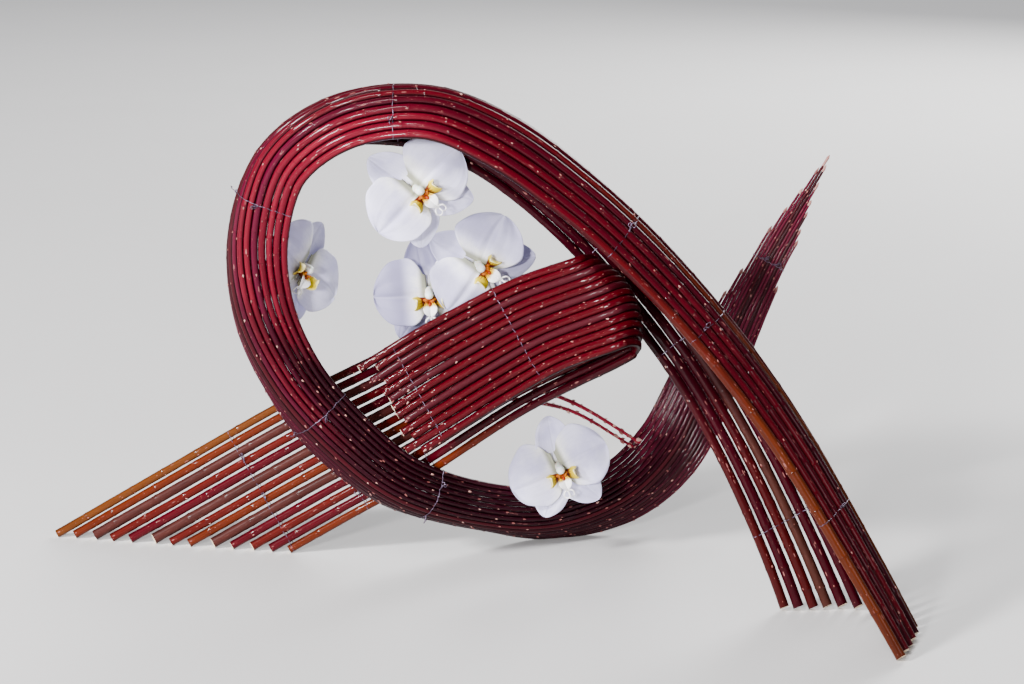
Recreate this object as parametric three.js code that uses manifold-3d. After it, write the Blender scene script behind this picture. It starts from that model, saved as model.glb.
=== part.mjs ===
// Free-standing ikebana of red-barked canes and white moth orchids, in millimetres, +Z up.
// Two flat ribbons of canes laid side by side: the long one stands on its feet at the right and
// swings round as an open loop, the short one rises from a fan of feet at the left, folds over
// and comes back as a second layer. Five orchid blooms and a budded spray sit among them.
import * as THREE from 'three';
import Module from 'manifold-3d';

const wasm = await Module();
wasm.setup();

// ---- driving dimensions (mm) ----
const CENTRE = [-45.69, 93.85];          // middle of the object's footprint, moved to the origin
const SIGHT = [0, 0.966, -0.259];        // tilts are measured from this direction, 15 degrees down
const CANE_SIDES = 5;
const CANE_GAP = 0.5;                    // least gap between neighbouring canes
const LONGEST_FACET = 140;               // of a straight stretch of cane
const FOOT_SINK = 0.9;                   // how much of a foot's lowest corner is cut flat on the floor
const FLOOR_BLOCK = { size: [1400, 1000, 400], middle: [0, 100, -200] };   // cuts the feet flat

const LOOP_CANES = 16;
const LOOP_BUTT = 8.6;                   // cane diameter at the feet
const LOOP_TIP = 2.0;                    // cane diameter at the thin ends
const LOOP_UNEVEN = 0.06;                // share by which the canes differ in thickness
const LOOP_BEND = 0.5;                   // share of the section's width that is bent
const LOOP_TURN = 14.5;                  // greatest turn from ring to ring, degrees
// x, y, z of the section's middle, its tilt and its curl in degrees, and its spread
const LOOP_STATIONS = [
  [381, 5, -107, -30, 105, 1.70],
  [340, 8, -17, -30, 112, 1.50],
  [295, 16, 72, -28, 122, 1.32],
  [244, 34, 163, -24, 128, 1.22],
  [193, 50, 238, -18, 128, 1.18],
  [133, 64, 310, -12, 126, 1.20],
  [72, 68, 370, -8, 130, 1.18],
  [1, 68, 424, -6, 146, 1.15],
  [-70, 72, 450, -4, 150, 1.12],
  [-149, 74, 442, 8, 145, 1.10],
  [-211, 80, 398, 20, 135, 1.08],
  [-238, 86, 328, 34, 125, 1.06],
  [-235, 92, 252, 46, 115, 1.04],
  [-205, 98, 182, 57, 104, 1.00],
  [-158, 104, 123, 62, 95, 1.00],
  [-102, 116, 74, 60, 100, 1.00],
  [-30, 154, 38, 52, 100, 1.00],
  [40, 186, 24, 55, 80, 1.05],
  [106, 207, 43, 65, 55, 1.12],
  [152, 224, 85, 74, 35, 1.18],
  [183, 236, 148, 80, 25, 1.15],
  [210, 246, 202, 82, 20, 1.10],
  [240, 256, 256, 84, 15, 1.00],
  [268, 264, 305, 85, 10, 1.00],
  [296, 272, 354, 85, 10, 1.00],
];
// station at which each cane of the loop ends, from the front edge to the back edge
const LOOP_ENDS = [20.3, 20.8, 21.3, 21.7, 22.5, 22.9, 23.3, 23.7, 24.0, 23.8, 23.5, 23.2, 23.0,
  22.7, 22.5, 21.7];
const LOOP_TIES = [2.36, 4.3, 5.5, 8.36, 10.6, 13.6, 15.4, 22.06];   // stations of the wire ties

const FOLD_RADIUS = 20;
const FOLD_ANGLES = [-90, -45, 0, 45, 90];
const FOLD_FACING = [-0.22, -0.77, 0.60];   // from the back layer to the front layer
const FOLD_BOW = 14;                        // how far the middle canes' folds reach past the edges'
const FOLD_FRONT = [[49, 48, 306], [84, 0, 245]];
// upper edge and lower edge of the fan, from below the floor up to the fold
const FAN_BACK = [
  [[-515, 230, -49], [-425, 198, -151]],
  [[-440, 216, -1], [-363, 190, -94]],
  [[-323, 197, 73], [-261, 178, -30]],
  [[-211, 178, 143], [-155, 164, 37]],
  [[-131, 156, 189], [-80, 148.9, 85]],
  [[-33, 127, 246], [11, 100, 161]],
];
// the same edges of the front layer, from the fold back down to the cut ends
const FAN_FRONT = [
  [[3, 76, 283], [42, 32, 220]],
  [[-41, 92, 257], [0, 58, 188]],
  [[-90, 106, 226], [-46, 82, 151]],
  [[-137, 112, 194], [-94, 94, 116]],
];
const FAN_BUTTS = [6.6, 7.2, 9.4, 7.2, 8.0, 10.4, 7.0, 7.4, 10.8, 7.6, 8.8, 8.0, 7.2];
const FAN_TIP = 5.8;
const FAN_TAPER = 6;                        // station from which every cane has the tip's diameter
const FAN_TURN = 27;
const FAN_TIES = [2.52, 3.26, 4.1, 11.4, 13.3];

const WIRE_RADIUS = 0.5;
const WIRE_CLEARANCE = 0.4;
const WIRE_SIDES = 3;
// depth: the root's place in cane radii; lean: away from the cane; tip: share of the root's radius
const BUD = { length: 8, radius: 1.3, depth: 0.65, lean: 0.3, tip: 0.25, sides: 3 };
const BUD_NODES = 2;                     // pairs of bud nodes carried in the solid of each cane
const SEAT = 0.05;                       // between the rounds in which two touching stems' corners lie
const STALK_GAP = 0.6;                   // between a stalk's slanted end and the back of its bloom

const STEM_SIDES = 5;                    // of the twigs and the stalks
const STEM_STEPS = 8;

// each twig of the spray is tucked behind one cane of the fan and runs on to a free tip
const SPRAYS = [
  { cane: 8, station: 4.95, points: [[58, 152, 151], [118, 175, 107]], tip: 1.6 },
  { cane: 10, station: 4.9, points: [[54, 160, 142], [112, 185, 100]], tip: 1.4 },
];
const SPRAY_BUTT = 3.4;
const SPRAY_BARE = 4;                    // steps of a twig below its first bud

// centre, the way the bloom faces, the turn of its top sepal (degrees, seen face on) and its scale;
// seat: the cane that carries it, and how far the stalk runs straight back first
const BLOOMS = [
  { at: [-186, 128, 284], faces: [0.78, -0.62, 0.08], turn: -45, scale: 0.98,
    seat: { ribbon: 'loop', cane: 13, station: 11.5, side: -1, back: 14 } },
  { at: [-80, 64, 366], faces: [0.12, -0.97, 0.20], turn: 47, scale: 1.0,
    seat: { ribbon: 'loop', cane: 14, station: 8.1, side: -1, back: 14 } },
  { at: [-28, 104, 292], faces: [-0.03, -0.99, 0.03], turn: 60, scale: 1.0,
    seat: { ribbon: 'fan', cane: 0, station: 5.5, side: -1, back: 13 } },
  { at: [-73, 118, 264], faces: [0.02, -0.98, 0.16], turn: 5, scale: 1.0,
    seat: { ribbon: 'fan', cane: 0, station: 4.5, side: 1, back: 14 } },
  { at: [43, 150, 91], faces: [0.05, -0.96, 0.22], turn: 20, scale: 0.98,
    seat: { ribbon: 'loop', cane: 1, station: 17.1, side: 1, back: 14 } },
];
const STALK_RADIUS = 1.3;

// one bloom, face on: x right, y towards the top sepal, z towards the viewer
const PETAL_THICKNESS = 0.9;
const PETAL_ROOT = 2;                    // of a petal, from the middle of the bloom
const LEAST_WIDTH = 0.2;                 // share of a petal's width that its root and tip keep
const SEPAL_ANGLES = [90, 226, 308];
const SEPAL = {
  length: 47, width: 36, root: 0.35, widest: 0.82, full: 0.56, lift: -0.5, bow: -1.5, cup: 2, tilt: -4,
};
const SIDE_PETAL_ANGLES = [2, 178];
const SIDE_PETAL = {
  length: 47, width: 62, root: 0.3, widest: 0.86, full: 0.5, lift: 2.2, bow: 2, cup: 4, tilt: 2,
};
const COLUMN_SIDES = 6;
const COLUMN = [{ y: 0, z: -4, radius: 3.4 }, { y: 0, z: 4, radius: 4.2 }, { y: -1, z: 9, radius: 2.4 }];
const CALLUS_SIDES = 5;
const CALLUS = [{ y: -6.4, z: 3.2, radius: 2.4 }, { y: -7.4, z: 10.5, radius: 1.6 }];
const LIP_BAR = { reach: 6, y: -6.4, z: 4.8, radius: 1.2, sides: 4 };
const SIDE_LOBE = { root: 3.5, reach: 8, half: 4, y: -5.5, fall: 2, z: 4, lift: 6, least: 0.25 };
const MIDDLE_LOBE = { half: 6.5, y: -5.2, reach: 17, z: 5, bow: 7, cup: 1.5, least: 0.2 };
const TAIL = { x: 1, y: -20.5, z: 9, curl: 4.5, turn: 70, rise: 0.8, radii: [0.8, 0.7, 0.6, 0.5], sides: 3 };

// ---- materials ----
const material = (color, roughness, metalness = 0) =>
  new THREE.MeshStandardMaterial({ color, roughness, metalness, side: THREE.DoubleSide });
const crimsonBark = material(0x8c1426, 0.35);
const wineBark = material(0x5c0f24, 0.38);
const orangeBark = material(0xb0502a, 0.42);
const tanBark = material(0xa9683c, 0.5);
const petalWhite = material(0xf2f1f4, 0.55);
const lipYellow = material(0xe8b83a, 0.5);
const stalkGreen = material(0x5c6b2c, 0.55);
const wireSteel = material(0x6d6a70, 0.4, 0.8);

// ---- small maths ----
const radians = THREE.MathUtils.degToRad;
const vector = (p) => new THREE.Vector3(p[0], p[1], p[2]);
const along = (p, direction, distance) => p.clone().addScaledVector(direction, distance);
const SLOPE_STEP = 1e-3;                 // either way, where a slope is measured

/** Uniform Catmull-Rom curve through rows of numbers, at station t. */
function through(rows, t) {
  const last = rows.length - 1;
  const k = Math.min(Math.max(Math.floor(t), 0), last - 1);
  const f = t - k;
  const row = (i) => {
    if (i < 0) return rows[0].map((v, c) => 2 * v - rows[1][c]);
    if (i > last) return rows[last].map((v, c) => 2 * v - rows[last - 1][c]);
    return rows[i];
  };
  const [a, b, c, d] = [row(k - 1), row(k), row(k + 1), row(k + 2)];
  return b.map((_, i) => 0.5 * (2 * b[i] + (c[i] - a[i]) * f
    + (2 * a[i] - 5 * b[i] + 4 * c[i] - d[i]) * f * f
    + (3 * b[i] - a[i] - 3 * c[i] + d[i]) * f * f * f));
}

/** Points spaced along the curve through a few points. */
function smoothPath(points, steps) {
  const rows = points.map((p) => p.toArray());
  return Array.from({ length: steps + 1 }, (_, k) => vector(through(rows, ((rows.length - 1) * k) / steps)));
}

/** Repeatable random numbers from 0 to 1. */
function seeded(seed) {
  let state = seed;
  return () => {
    state = (state * 16807) % 2147483647;
    return state / 2147483647;
  };
}

// ---- solids ----
function toGeometry(points, faces) {
  const numbers = points.flatMap((p) => p.toArray());
  const geometry = new THREE.BufferGeometry();
  geometry.setAttribute('position', new THREE.Float32BufferAttribute(numbers, 3));
  geometry.setIndex(faces);
  return geometry;
}

function toSolid(geometry) {
  const mesh = new wasm.Mesh({
    numProp: 3,
    vertProperties: new Float32Array(geometry.attributes.position.array),
    triVerts: new Uint32Array(geometry.index.array),
  });
  return new wasm.Manifold(mesh);
}

function fromSolid(solid) {
  const { vertProperties, triVerts } = solid.getMesh();
  const geometry = new THREE.BufferGeometry();
  geometry.setAttribute('position', new THREE.BufferAttribute(new Float32Array(vertProperties), 3));
  geometry.setIndex(new THREE.BufferAttribute(new Uint32Array(triVerts), 1));
  return geometry;
}

/** Skin over rings of equal count, with flat ends, or joined end to end when closed. */
function skin(rings, closed = false) {
  const sides = rings[0].length;
  const points = rings.flat();
  const faces = [];
  const bands = closed ? rings.length : rings.length - 1;
  for (let r = 0; r < bands; r += 1) {
    const next = (r + 1) % rings.length;
    for (let s = 0; s < sides; s += 1) {
      const s2 = (s + 1) % sides;
      const [a, b, c, d] = [r * sides + s, r * sides + s2, next * sides + s, next * sides + s2];
      faces.push(a, b, d, a, d, c);
    }
  }
  if (!closed) {
    const end = (rings.length - 1) * sides;
    for (let s = 1; s < sides - 1; s += 1) {
      faces.push(0, s + 1, s);
      faces.push(end, end + s, end + s + 1);
    }
  }
  return toGeometry(points, faces);
}

/** Ring of corners round a centre; u and v are unit and u x v points along the tube. */
function ring(centre, u, v, radius, sides, phase = 0) {
  return Array.from({ length: sides }, (_, s) => {
    const angle = phase + (2 * Math.PI * s) / sides;
    return along(along(centre, u, radius * Math.cos(angle)), v, radius * Math.sin(angle));
  });
}

/** Tube along points with a radius at each, its rings square to the path. */
function pathTube(points, radii, sides, closed = false) {
  const n = points.length;
  let u = null;
  const rings = points.map((p, i) => {
    const before = closed ? points[(i + n - 1) % n] : points[Math.max(i - 1, 0)];
    const after = closed ? points[(i + 1) % n] : points[Math.min(i + 1, n - 1)];
    const t = after.clone().sub(before).normalize();
    const first = Math.abs(t.z) < 0.9 ? new THREE.Vector3(0, 0, 1) : new THREE.Vector3(1, 0, 0);
    const previous = u ?? first;
    u = along(previous, t, -previous.dot(t)).normalize();
    return ring(p, u, t.clone().cross(u), radii[i], sides);
  });
  return skin(rings, closed);
}

/** Thin sheet of even thickness over place(u, v), u from 0 to 1 and v from -1 to 1. */
function blade(place, nu, nv, thickness) {
  const front = [];
  const back = [];
  for (let i = 0; i <= nu; i += 1) {
    for (let j = 0; j <= nv; j += 1) {
      const [u, v] = [i / nu, (2 * j) / nv - 1];
      const p = place(u, v);
      const du = place(u + SLOPE_STEP, v).sub(place(u - SLOPE_STEP, v));
      const dv = place(u, v + SLOPE_STEP).sub(place(u, v - SLOPE_STEP));
      const normal = du.cross(dv).normalize();
      front.push(along(p, normal, thickness / 2));
      back.push(along(p, normal, -thickness / 2));
    }
  }
  const row = nv + 1;
  const under = front.length;
  const faces = [];
  for (let i = 0; i < nu; i += 1) {
    for (let j = 0; j < nv; j += 1) {
      const [a, b, c, d] = [i * row + j, (i + 1) * row + j, (i + 1) * row + j + 1, i * row + j + 1];
      faces.push(a, b, c, a, c, d);
      faces.push(under + a, under + c, under + b, under + a, under + d, under + c);
    }
  }
  const rim = [];
  for (let i = 0; i < nu; i += 1) rim.push(i * row);
  for (let j = 0; j < nv; j += 1) rim.push(nu * row + j);
  for (let i = nu; i > 0; i -= 1) rim.push(i * row + nv);
  for (let j = nv; j > 0; j -= 1) rim.push(j);
  rim.forEach((a, k) => {
    const b = rim[(k + 1) % rim.length];
    faces.push(a, under + b, b, a, under + a, under + b);
  });
  return toGeometry([...front, ...back], faces);
}

function join(geometries) {
  return geometries.map(toSolid).reduce((sum, solid) => sum.add(solid));
}

/** Box whose faces share their corners. */
function block({ size, middle }) {
  const box = new THREE.BoxGeometry(...size).translate(...middle);
  const corners = [];
  const index = Array.from(box.index.array, (k) => {
    const p = new THREE.Vector3().fromBufferAttribute(box.attributes.position, k);
    const found = corners.findIndex((c) => c.distanceTo(p) < 1e-6);
    return found < 0 ? corners.push(p) - 1 : found;
  });
  return toGeometry(corners, index);
}

// ---- ribbons of canes ----
/** Slot centres across a section, given each slot's width. */
function slotCentres(widths) {
  let reach = 0;
  return widths.map((w) => {
    reach += w;
    return reach - w / 2;
  });
}

function loopRadius(cane, t) {
  const vary = 1 + LOOP_UNEVEN * Math.sin(cane * 2.4);
  const diameter = THREE.MathUtils.lerp(LOOP_BUTT, LOOP_TIP, t / (LOOP_STATIONS.length - 1));
  return (diameter * vary) / 2;
}

/** The loop's section at station t: centre, outward normal and radius of every cane. */
function loopSection(t) {
  const q = through(LOOP_STATIONS, t);
  const ahead = vector(through(LOOP_STATIONS, t + SLOPE_STEP));
  const tangent = ahead.sub(vector(through(LOOP_STATIONS, t - SLOPE_STEP))).normalize();
  const sight = vector(SIGHT);
  const away = along(sight, tangent, -sight.dot(tangent)).normalize();
  const outward = away.clone().cross(tangent);
  const tilt = radians(q[3]);
  const across = away.multiplyScalar(Math.cos(tilt)).addScaledVector(outward, Math.sin(tilt));
  const normal = across.clone().cross(tangent);

  // past the end of a cane its neighbours close up over the length of one station
  const widths = LOOP_ENDS.map((end, i) => {
    const kept = THREE.MathUtils.clamp(1 - (t - end), 0.02, 1);
    return (2 * loopRadius(i, t) + CANE_GAP) * kept;
  });
  const width = widths.reduce((a, b) => a + b) * q[5];
  const curl = radians(q[4]);
  const bent = (LOOP_BEND * width) / 2;
  const radius = (2 * bent) / curl;
  return slotCentres(widths).map((slot, i) => {
    const s = slot * q[5] - width / 2;
    const m = THREE.MathUtils.clamp(s, -bent, bent);
    const over = s - m;
    const angle = m / radius;
    const sideways = radius * Math.sin(angle) + over * Math.cos(curl / 2);
    const depth = radius * (1 - Math.cos(angle)) + Math.abs(over) * Math.sin(curl / 2);
    return {
      centre: along(along(vector(q), across, sideways), normal, -depth),
      normal: along(normal.clone().multiplyScalar(Math.cos(angle)), across, Math.sin(angle)),
      tangent,
      radius: loopRadius(i, t),
    };
  });
}

/** Edge rows of the fan: upper point, lower point and the bow of the canes between them. */
function fanRows() {
  const [upper, lower] = FOLD_FRONT.map(vector);
  const down = lower.clone().sub(upper).normalize();
  const facing = vector(FOLD_FACING);
  const out = along(facing, down, -facing.dot(down)).normalize();
  const reach = out.clone().cross(down);
  const fold = FOLD_ANGLES.map((degrees) => {
    const a = radians(degrees);
    const turn = reach.clone().multiplyScalar(FOLD_RADIUS * Math.cos(a));
    turn.addScaledVector(out, FOLD_RADIUS * (Math.sin(a) - 1));
    const bow = reach.clone().multiplyScalar(FOLD_BOW * (Math.abs(degrees) === 90 ? 0.6 : 1));
    return [upper.clone().add(turn), lower.clone().add(turn), bow].flatMap((p) => p.toArray());
  });
  const straight = (rows) => rows.map(([a, b]) => [...a, ...b, 0, 0, 0]);
  return [...straight(FAN_BACK), ...fold, ...straight(FAN_FRONT)];
}
const FAN_ROWS = fanRows();

function fanRadius(cane, t) {
  return THREE.MathUtils.lerp(FAN_BUTTS[cane], FAN_TIP, Math.min(t / FAN_TAPER, 1)) / 2;
}

/** The fan's section at station t: centre, outward normal and radius of every cane. */
function fanSection(t) {
  const q = through(FAN_ROWS, t);
  const middle = (row) => vector(row).add(vector(row.slice(3))).multiplyScalar(0.5);
  const ahead = middle(through(FAN_ROWS, t + SLOPE_STEP));
  const tangent = ahead.sub(middle(through(FAN_ROWS, t - SLOPE_STEP))).normalize();
  const upper = vector(q);
  const span = vector(q.slice(3)).sub(upper);
  const across = along(span, tangent, -span.dot(tangent)).normalize();
  const normal = across.clone().cross(tangent);
  const widths = FAN_BUTTS.map((_, i) => 2 * fanRadius(i, t) + CANE_GAP);
  const slots = slotCentres(widths);
  const whole = slots[slots.length - 1] - slots[0];
  return slots.map((slot, i) => {
    const s = (slot - slots[0]) / whole;
    const centre = along(upper, span, s).addScaledVector(vector(q.slice(6)), 4 * s * (1 - s));
    return { centre, normal, tangent, radius: fanRadius(i, t) };
  });
}

/** Station at which a cane's lowest corner dips FOOT_SINK below the floor. */
function footStation(section, cane, from, to) {
  const lowest = (t) => {
    const { centre, tangent, radius } = section(t)[cane];
    return centre.z - radius * Math.sqrt(1 - tangent.z * tangent.z) + FOOT_SINK;
  };
  let [low, high] = [from, to];
  for (let k = 0; k < 30; k += 1) {
    const mid = (low + high) / 2;
    if (lowest(mid) < 0) low = mid;
    else high = mid;
  }
  return low;
}

/** Small bud lying against the cane, pointing along it. */
function bud(at, side) {
  const { centre, normal, tangent, radius } = at;
  const out = normal.clone().multiplyScalar(side);
  const root = along(centre, out, radius * BUD.depth);
  const rise = along(tangent, out, BUD.lean).normalize();
  const v = rise.clone().cross(normal).normalize();
  const u = v.clone().cross(rise);
  return skin([
    ring(root, u, v, BUD.radius, BUD.sides),
    ring(along(root, rise, BUD.length), u, v, BUD.tip * BUD.radius, BUD.sides),
  ]);
}

/** Stations of a ribbon's rings: one at each tie, and one wherever it has turned or run far enough. */
function ringStations(section, last, greatestTurn, ties) {
  const step = 0.02;
  const stations = [0];
  let [turned, run] = [0, 0];
  let here = section(0)[0];
  for (let k = 1; k < last / step; k += 1) {
    const t = k * step;
    const next = section(t)[0];
    turned += next.tangent.angleTo(here.tangent);
    run += next.centre.distanceTo(here.centre);
    here = next;
    const atTie = ties.some((tie) => Math.abs(tie - t) < step / 2);
    const nearTie = ties.some((tie) => Math.abs(tie - t) < 0.2);
    if (atTie || (!nearTie && (turned > radians(greatestTurn) || run > LONGEST_FACET))) {
      stations.push(t);
      [turned, run] = [0, 0];
    }
  }
  return [...stations, last];
}

const loop = {
  section: loopSection,
  grid: ringStations(loopSection, LOOP_STATIONS.length - 1, LOOP_TURN, LOOP_TIES),
  ties: LOOP_TIES,
  budSides: [1, -1],
  budFree: (t) => t > 15.8 && t < 18.2,     // no buds where the loop lies on the floor
};
const fan = {
  section: fanSection,
  grid: ringStations(fanSection, FAN_ROWS.length - 1, FAN_TURN, FAN_TIES),
  ties: FAN_TIES,
  budSides: [1],
  budFree: (t) => t > 5.5 && t < 10.5,      // no buds inside the fold
};

/** A cane's place at station t, on the straight facet between two of its rings. */
function caneAt({ section, grid }, cane, t) {
  const k = Math.min(grid.findIndex((station) => station > t), grid.length - 1);
  const f = (t - grid[k - 1]) / (grid[k] - grid[k - 1]);
  const [a, b] = [section(grid[k - 1])[cane], section(grid[k])[cane]];
  return { ...section(t)[cane], centre: a.centre.clone().lerp(b.centre, f) };
}

const floorBlock = toSolid(block(FLOOR_BLOCK));

/** One cane from station `from` to station `to`, with its buds, cut flat on the floor. */
function caneSolid({ section, grid, ties, budSides, budFree }, cane, from, to, random) {
  const inner = grid.filter((t) => t > from + 0.1 && t < to - 0.1);
  const foot = section(from)[cane];
  const side = foot.tangent.clone().cross(foot.normal);
  const phase = Math.atan2(-side.z, -foot.normal.z);
  const rings = [from, ...inner, to].map((t) => {
    const { centre, normal, tangent, radius } = section(t)[cane];
    return ring(centre, normal, tangent.clone().cross(normal), radius, CANE_SIDES, phase);
  });
  const open = inner.filter((t) => !ties.includes(t) && !budFree(t));
  const buds = [];
  for (let k = 0; k < BUD_NODES; k += 1) {
    const t = open[Math.floor(((k + random()) / BUD_NODES) * open.length)];
    budSides.forEach((budSide) => buds.push(bud(section(t)[cane], budSide)));
  }
  return join([skin(rings), ...buds]).subtract(floorBlock);
}

/** Closed wire loop round the whole section at station t, straight over underStep canes inside. */
function tie(section, t, underStep, skipped = () => false) {
  const canes = section(t).filter((_, i) => !skipped(i));
  const offset = WIRE_RADIUS + WIRE_CLEARANCE;
  const over = canes.map((c) => along(c.centre, c.normal, c.radius + offset));
  const inside = canes.filter((_, i) => i % underStep === 0 || i === canes.length - 1);
  const under = inside.map((c) => along(c.centre, c.normal, -c.radius - offset)).reverse();
  // three points round the outermost cane, far enough out that the wire's chords clear it
  const round = (edge, inner, turn) => {
    const sideways = edge.centre.clone().sub(inner.centre);
    sideways.addScaledVector(edge.normal, -sideways.dot(edge.normal)).normalize();
    return [45, 90, 135].map((degrees) => {
      const reach = (edge.radius + offset) * 1.1;
      const p = along(edge.centre, sideways, reach * Math.sin(radians(degrees)));
      return p.addScaledVector(edge.normal, turn * reach * Math.cos(radians(degrees)));
    });
  };
  const n = canes.length;
  const lastRound = round(canes[n - 1], canes[n - 2], 1);
  const firstRound = round(canes[0], canes[1], -1);
  const points = [...over, ...lastRound, ...under, ...firstRound];
  return pathTube(points, points.map(() => WIRE_RADIUS), WIRE_SIDES, true);
}

// ---- orchids ----
/** Share of its full width that a petal or sepal has at u along it, from its root to its round tip. */
function petalWidth(u, { root, widest, full }) {
  const blade = Math.pow(Math.sin(Math.PI * Math.pow(u, widest)), full);
  return Math.max(LEAST_WIDTH, root * (1 - u), blade);
}

function petal(shape, angle) {
  const { length, width, lift, bow, cup, tilt } = shape;
  const a = radians(angle);
  const [dx, dy] = [Math.cos(a), Math.sin(a)];
  return blade((u, v) => {
    const r = PETAL_ROOT + length * u;
    const y = (v * width * petalWidth(THREE.MathUtils.clamp(u, 0, 1), shape)) / 2;
    const z = lift + bow * Math.sin(Math.PI * u * 0.8) - cup * v * v * Math.sin(Math.PI * u) + tilt * u;
    return new THREE.Vector3(dx * r - dy * y, dy * r + dx * y, z);
  }, 5, width > length ? 4 : 2, PETAL_THICKNESS);
}

/** Round body standing on the middle line of a bloom, skinned over its rings. */
function peg(rows, sides) {
  const [right, up] = [vector([1, 0, 0]), vector([0, 1, 0])];
  return skin(rows.map(({ y, z, radius }) => ring(vector([0, y, z]), right, up, radius, sides)));
}

function perianth() {
  return join([
    peg(COLUMN, COLUMN_SIDES),
    ...SEPAL_ANGLES.map((angle) => petal(SEPAL, angle)),
    ...SIDE_PETAL_ANGLES.map((angle) => petal(SIDE_PETAL, angle)),
  ]);
}

/** Upright lobe at one side of the lip. */
function sideLobe(side) {
  const { root, reach, half, y, fall, z, lift, least } = SIDE_LOBE;
  return blade((u, v) => {
    const w = half * Math.max(least, Math.sin(Math.PI * Math.min(1, 0.18 + 0.8 * u)));
    return vector([side * (root + reach * u), y - fall * u + v * w, z + lift * u * (1.6 - u)]);
  }, 2, 2, PETAL_THICKNESS);
}

/** Pointed lobe that reaches down and forward from the middle of the lip. */
function middleLobe() {
  const { half, y, reach, z, bow, cup, least } = MIDDLE_LOBE;
  return blade((u, v) => {
    const w = half * Math.max(least, Math.sin(Math.PI * (0.12 + 0.83 * u)));
    return vector([v * w, y - reach * u, z + bow * Math.sin(Math.PI * u * 0.7) - cup * v * v]);
  }, 4, 2, PETAL_THICKNESS);
}

/** Thin tail that curls back from the point of the lip. */
function tail(side) {
  const points = TAIL.radii.map((_, k) => {
    const a = radians(TAIL.turn * k);
    const x = side * (TAIL.x + TAIL.curl * Math.sin(a));
    return vector([x, TAIL.y - TAIL.curl * (1 - Math.cos(a)), TAIL.z + TAIL.rise * k]);
  });
  return pathTube(points, TAIL.radii, TAIL.sides);
}

/** Lip: the middle lobe with its two tails, the two side lobes and the callus on its bar. */
function lip() {
  const { reach, y, z, radius, sides } = LIP_BAR;
  const bar = pathTube([vector([-reach, y, z]), vector([reach, y, z])], [radius, radius], sides);
  return join([middleLobe(), bar, peg(CALLUS, CALLUS_SIDES), sideLobe(1), sideLobe(-1), tail(-1), tail(1)]);
}

/** Turns the bloom's own frame to where it faces and moves it to its place. */
function bloomMatrix({ at, faces, turn, scale }) {
  const facing = vector(faces).normalize();
  const level = new THREE.Vector3(0, 0, 1).cross(facing).normalize();
  const up = facing.clone().cross(level);
  const basis = new THREE.Matrix4().makeBasis(level, up, facing);
  return new THREE.Matrix4().makeTranslation(...at)
    .multiply(basis)
    .multiply(new THREE.Matrix4().makeRotationZ(radians(turn)))
    .multiply(new THREE.Matrix4().makeScale(scale, scale, scale));
}

/** Stalk from the back of a bloom to its seat on the side of the cane that carries it. */
function stalk(bloom) {
  const { ribbon, cane, station, side, back } = bloom.seat;
  const c = caneAt(ribbon === 'loop' ? loop : fan, cane, station);
  const matrix = bloomMatrix(bloom);
  const top = vector([0, 0, COLUMN[0].z - STALK_GAP]).applyMatrix4(matrix);
  const behind = vector([0, 0, -back]).applyMatrix4(matrix);
  const slant = c.centre.clone().sub(behind).normalize().cross(c.normal).length();
  const seat = along(c.centre, c.normal, side * (c.radius + STALK_RADIUS * slant + SEAT));
  const points = smoothPath([top, behind, seat], STEM_STEPS);
  return pathTube(points, points.map(() => STALK_RADIUS), STEM_SIDES);
}

/** Thin budded twig from its seat behind a cane of the fan to its tip. */
function sprayTwig({ cane, station, points, tip }) {
  const seat = caneAt(fan, cane, station);
  const slant = vector(points[0]).sub(seat.centre).normalize().cross(seat.normal).length();
  const root = along(seat.centre, seat.normal, -(seat.radius + (SPRAY_BUTT / 2) * slant + SEAT));
  const path = smoothPath([root, ...points.map(vector)], STEM_STEPS);
  const radii = path.map((_, k) => THREE.MathUtils.lerp(SPRAY_BUTT, tip, k / STEM_STEPS) / 2);
  const buds = path.slice(SPRAY_BARE).map((p, k) => {
    const tangent = p.clone().sub(path[k + SPRAY_BARE - 1]).normalize();
    const turn = vector([Math.sin(k * 2.1), -0.4, Math.cos(k * 2.1)]);
    const normal = along(turn, tangent, -turn.dot(tangent)).normalize();
    return bud({ centre: p, normal, tangent, radius: radii[k + SPRAY_BARE] }, 1);
  });
  return join([pathTube(path, radii, STEM_SIDES), ...buds]);
}

// ---- scene graph ----
const arrangement = new THREE.Group();
arrangement.position.set(-CENTRE[0], -CENTRE[1], 0);

function place(name, geometry, paint) {
  const mesh = new THREE.Mesh(geometry, paint);
  mesh.name = name;
  arrangement.add(mesh);
  return mesh;
}

const number = (i) => String(i + 1).padStart(2, '0');

const loopPaints = [
  orangeBark, crimsonBark, crimsonBark, wineBark, crimsonBark, orangeBark, crimsonBark, wineBark,
];
for (let i = 0; i < LOOP_CANES; i += 1) {
  const solid = caneSolid(loop, i, footStation(loopSection, i, 0, 4), LOOP_ENDS[i], seeded(11 + i));
  place(`loop_cane_${number(i)}`, fromSolid(solid), loopPaints[i % loopPaints.length]);
}

const fanPaints = [tanBark, orangeBark, tanBark, orangeBark, crimsonBark, tanBark, crimsonBark];
FAN_BUTTS.forEach((_, i) => {
  const to = FAN_ROWS.length - 1 - 0.25 * Math.abs(Math.sin(i * 1.7));
  const solid = caneSolid(fan, i, footStation(fanSection, i, 0, 4), to, seeded(71 + i));
  place(`fan_cane_${number(i)}`, fromSolid(solid), fanPaints[i % fanPaints.length]);
});

LOOP_TIES.forEach((t, i) => {
  place(`loop_tie_${i + 1}`, tie(loopSection, t, 3, (cane) => t > LOOP_ENDS[cane]), wireSteel);
});
FAN_TIES.forEach((t, i) => place(`fan_tie_${i + 1}`, tie(fanSection, t, 1), wireSteel));

SPRAYS.forEach((spray, i) => place(`spray_twig_${i + 1}`, fromSolid(sprayTwig(spray)), wineBark));

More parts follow.
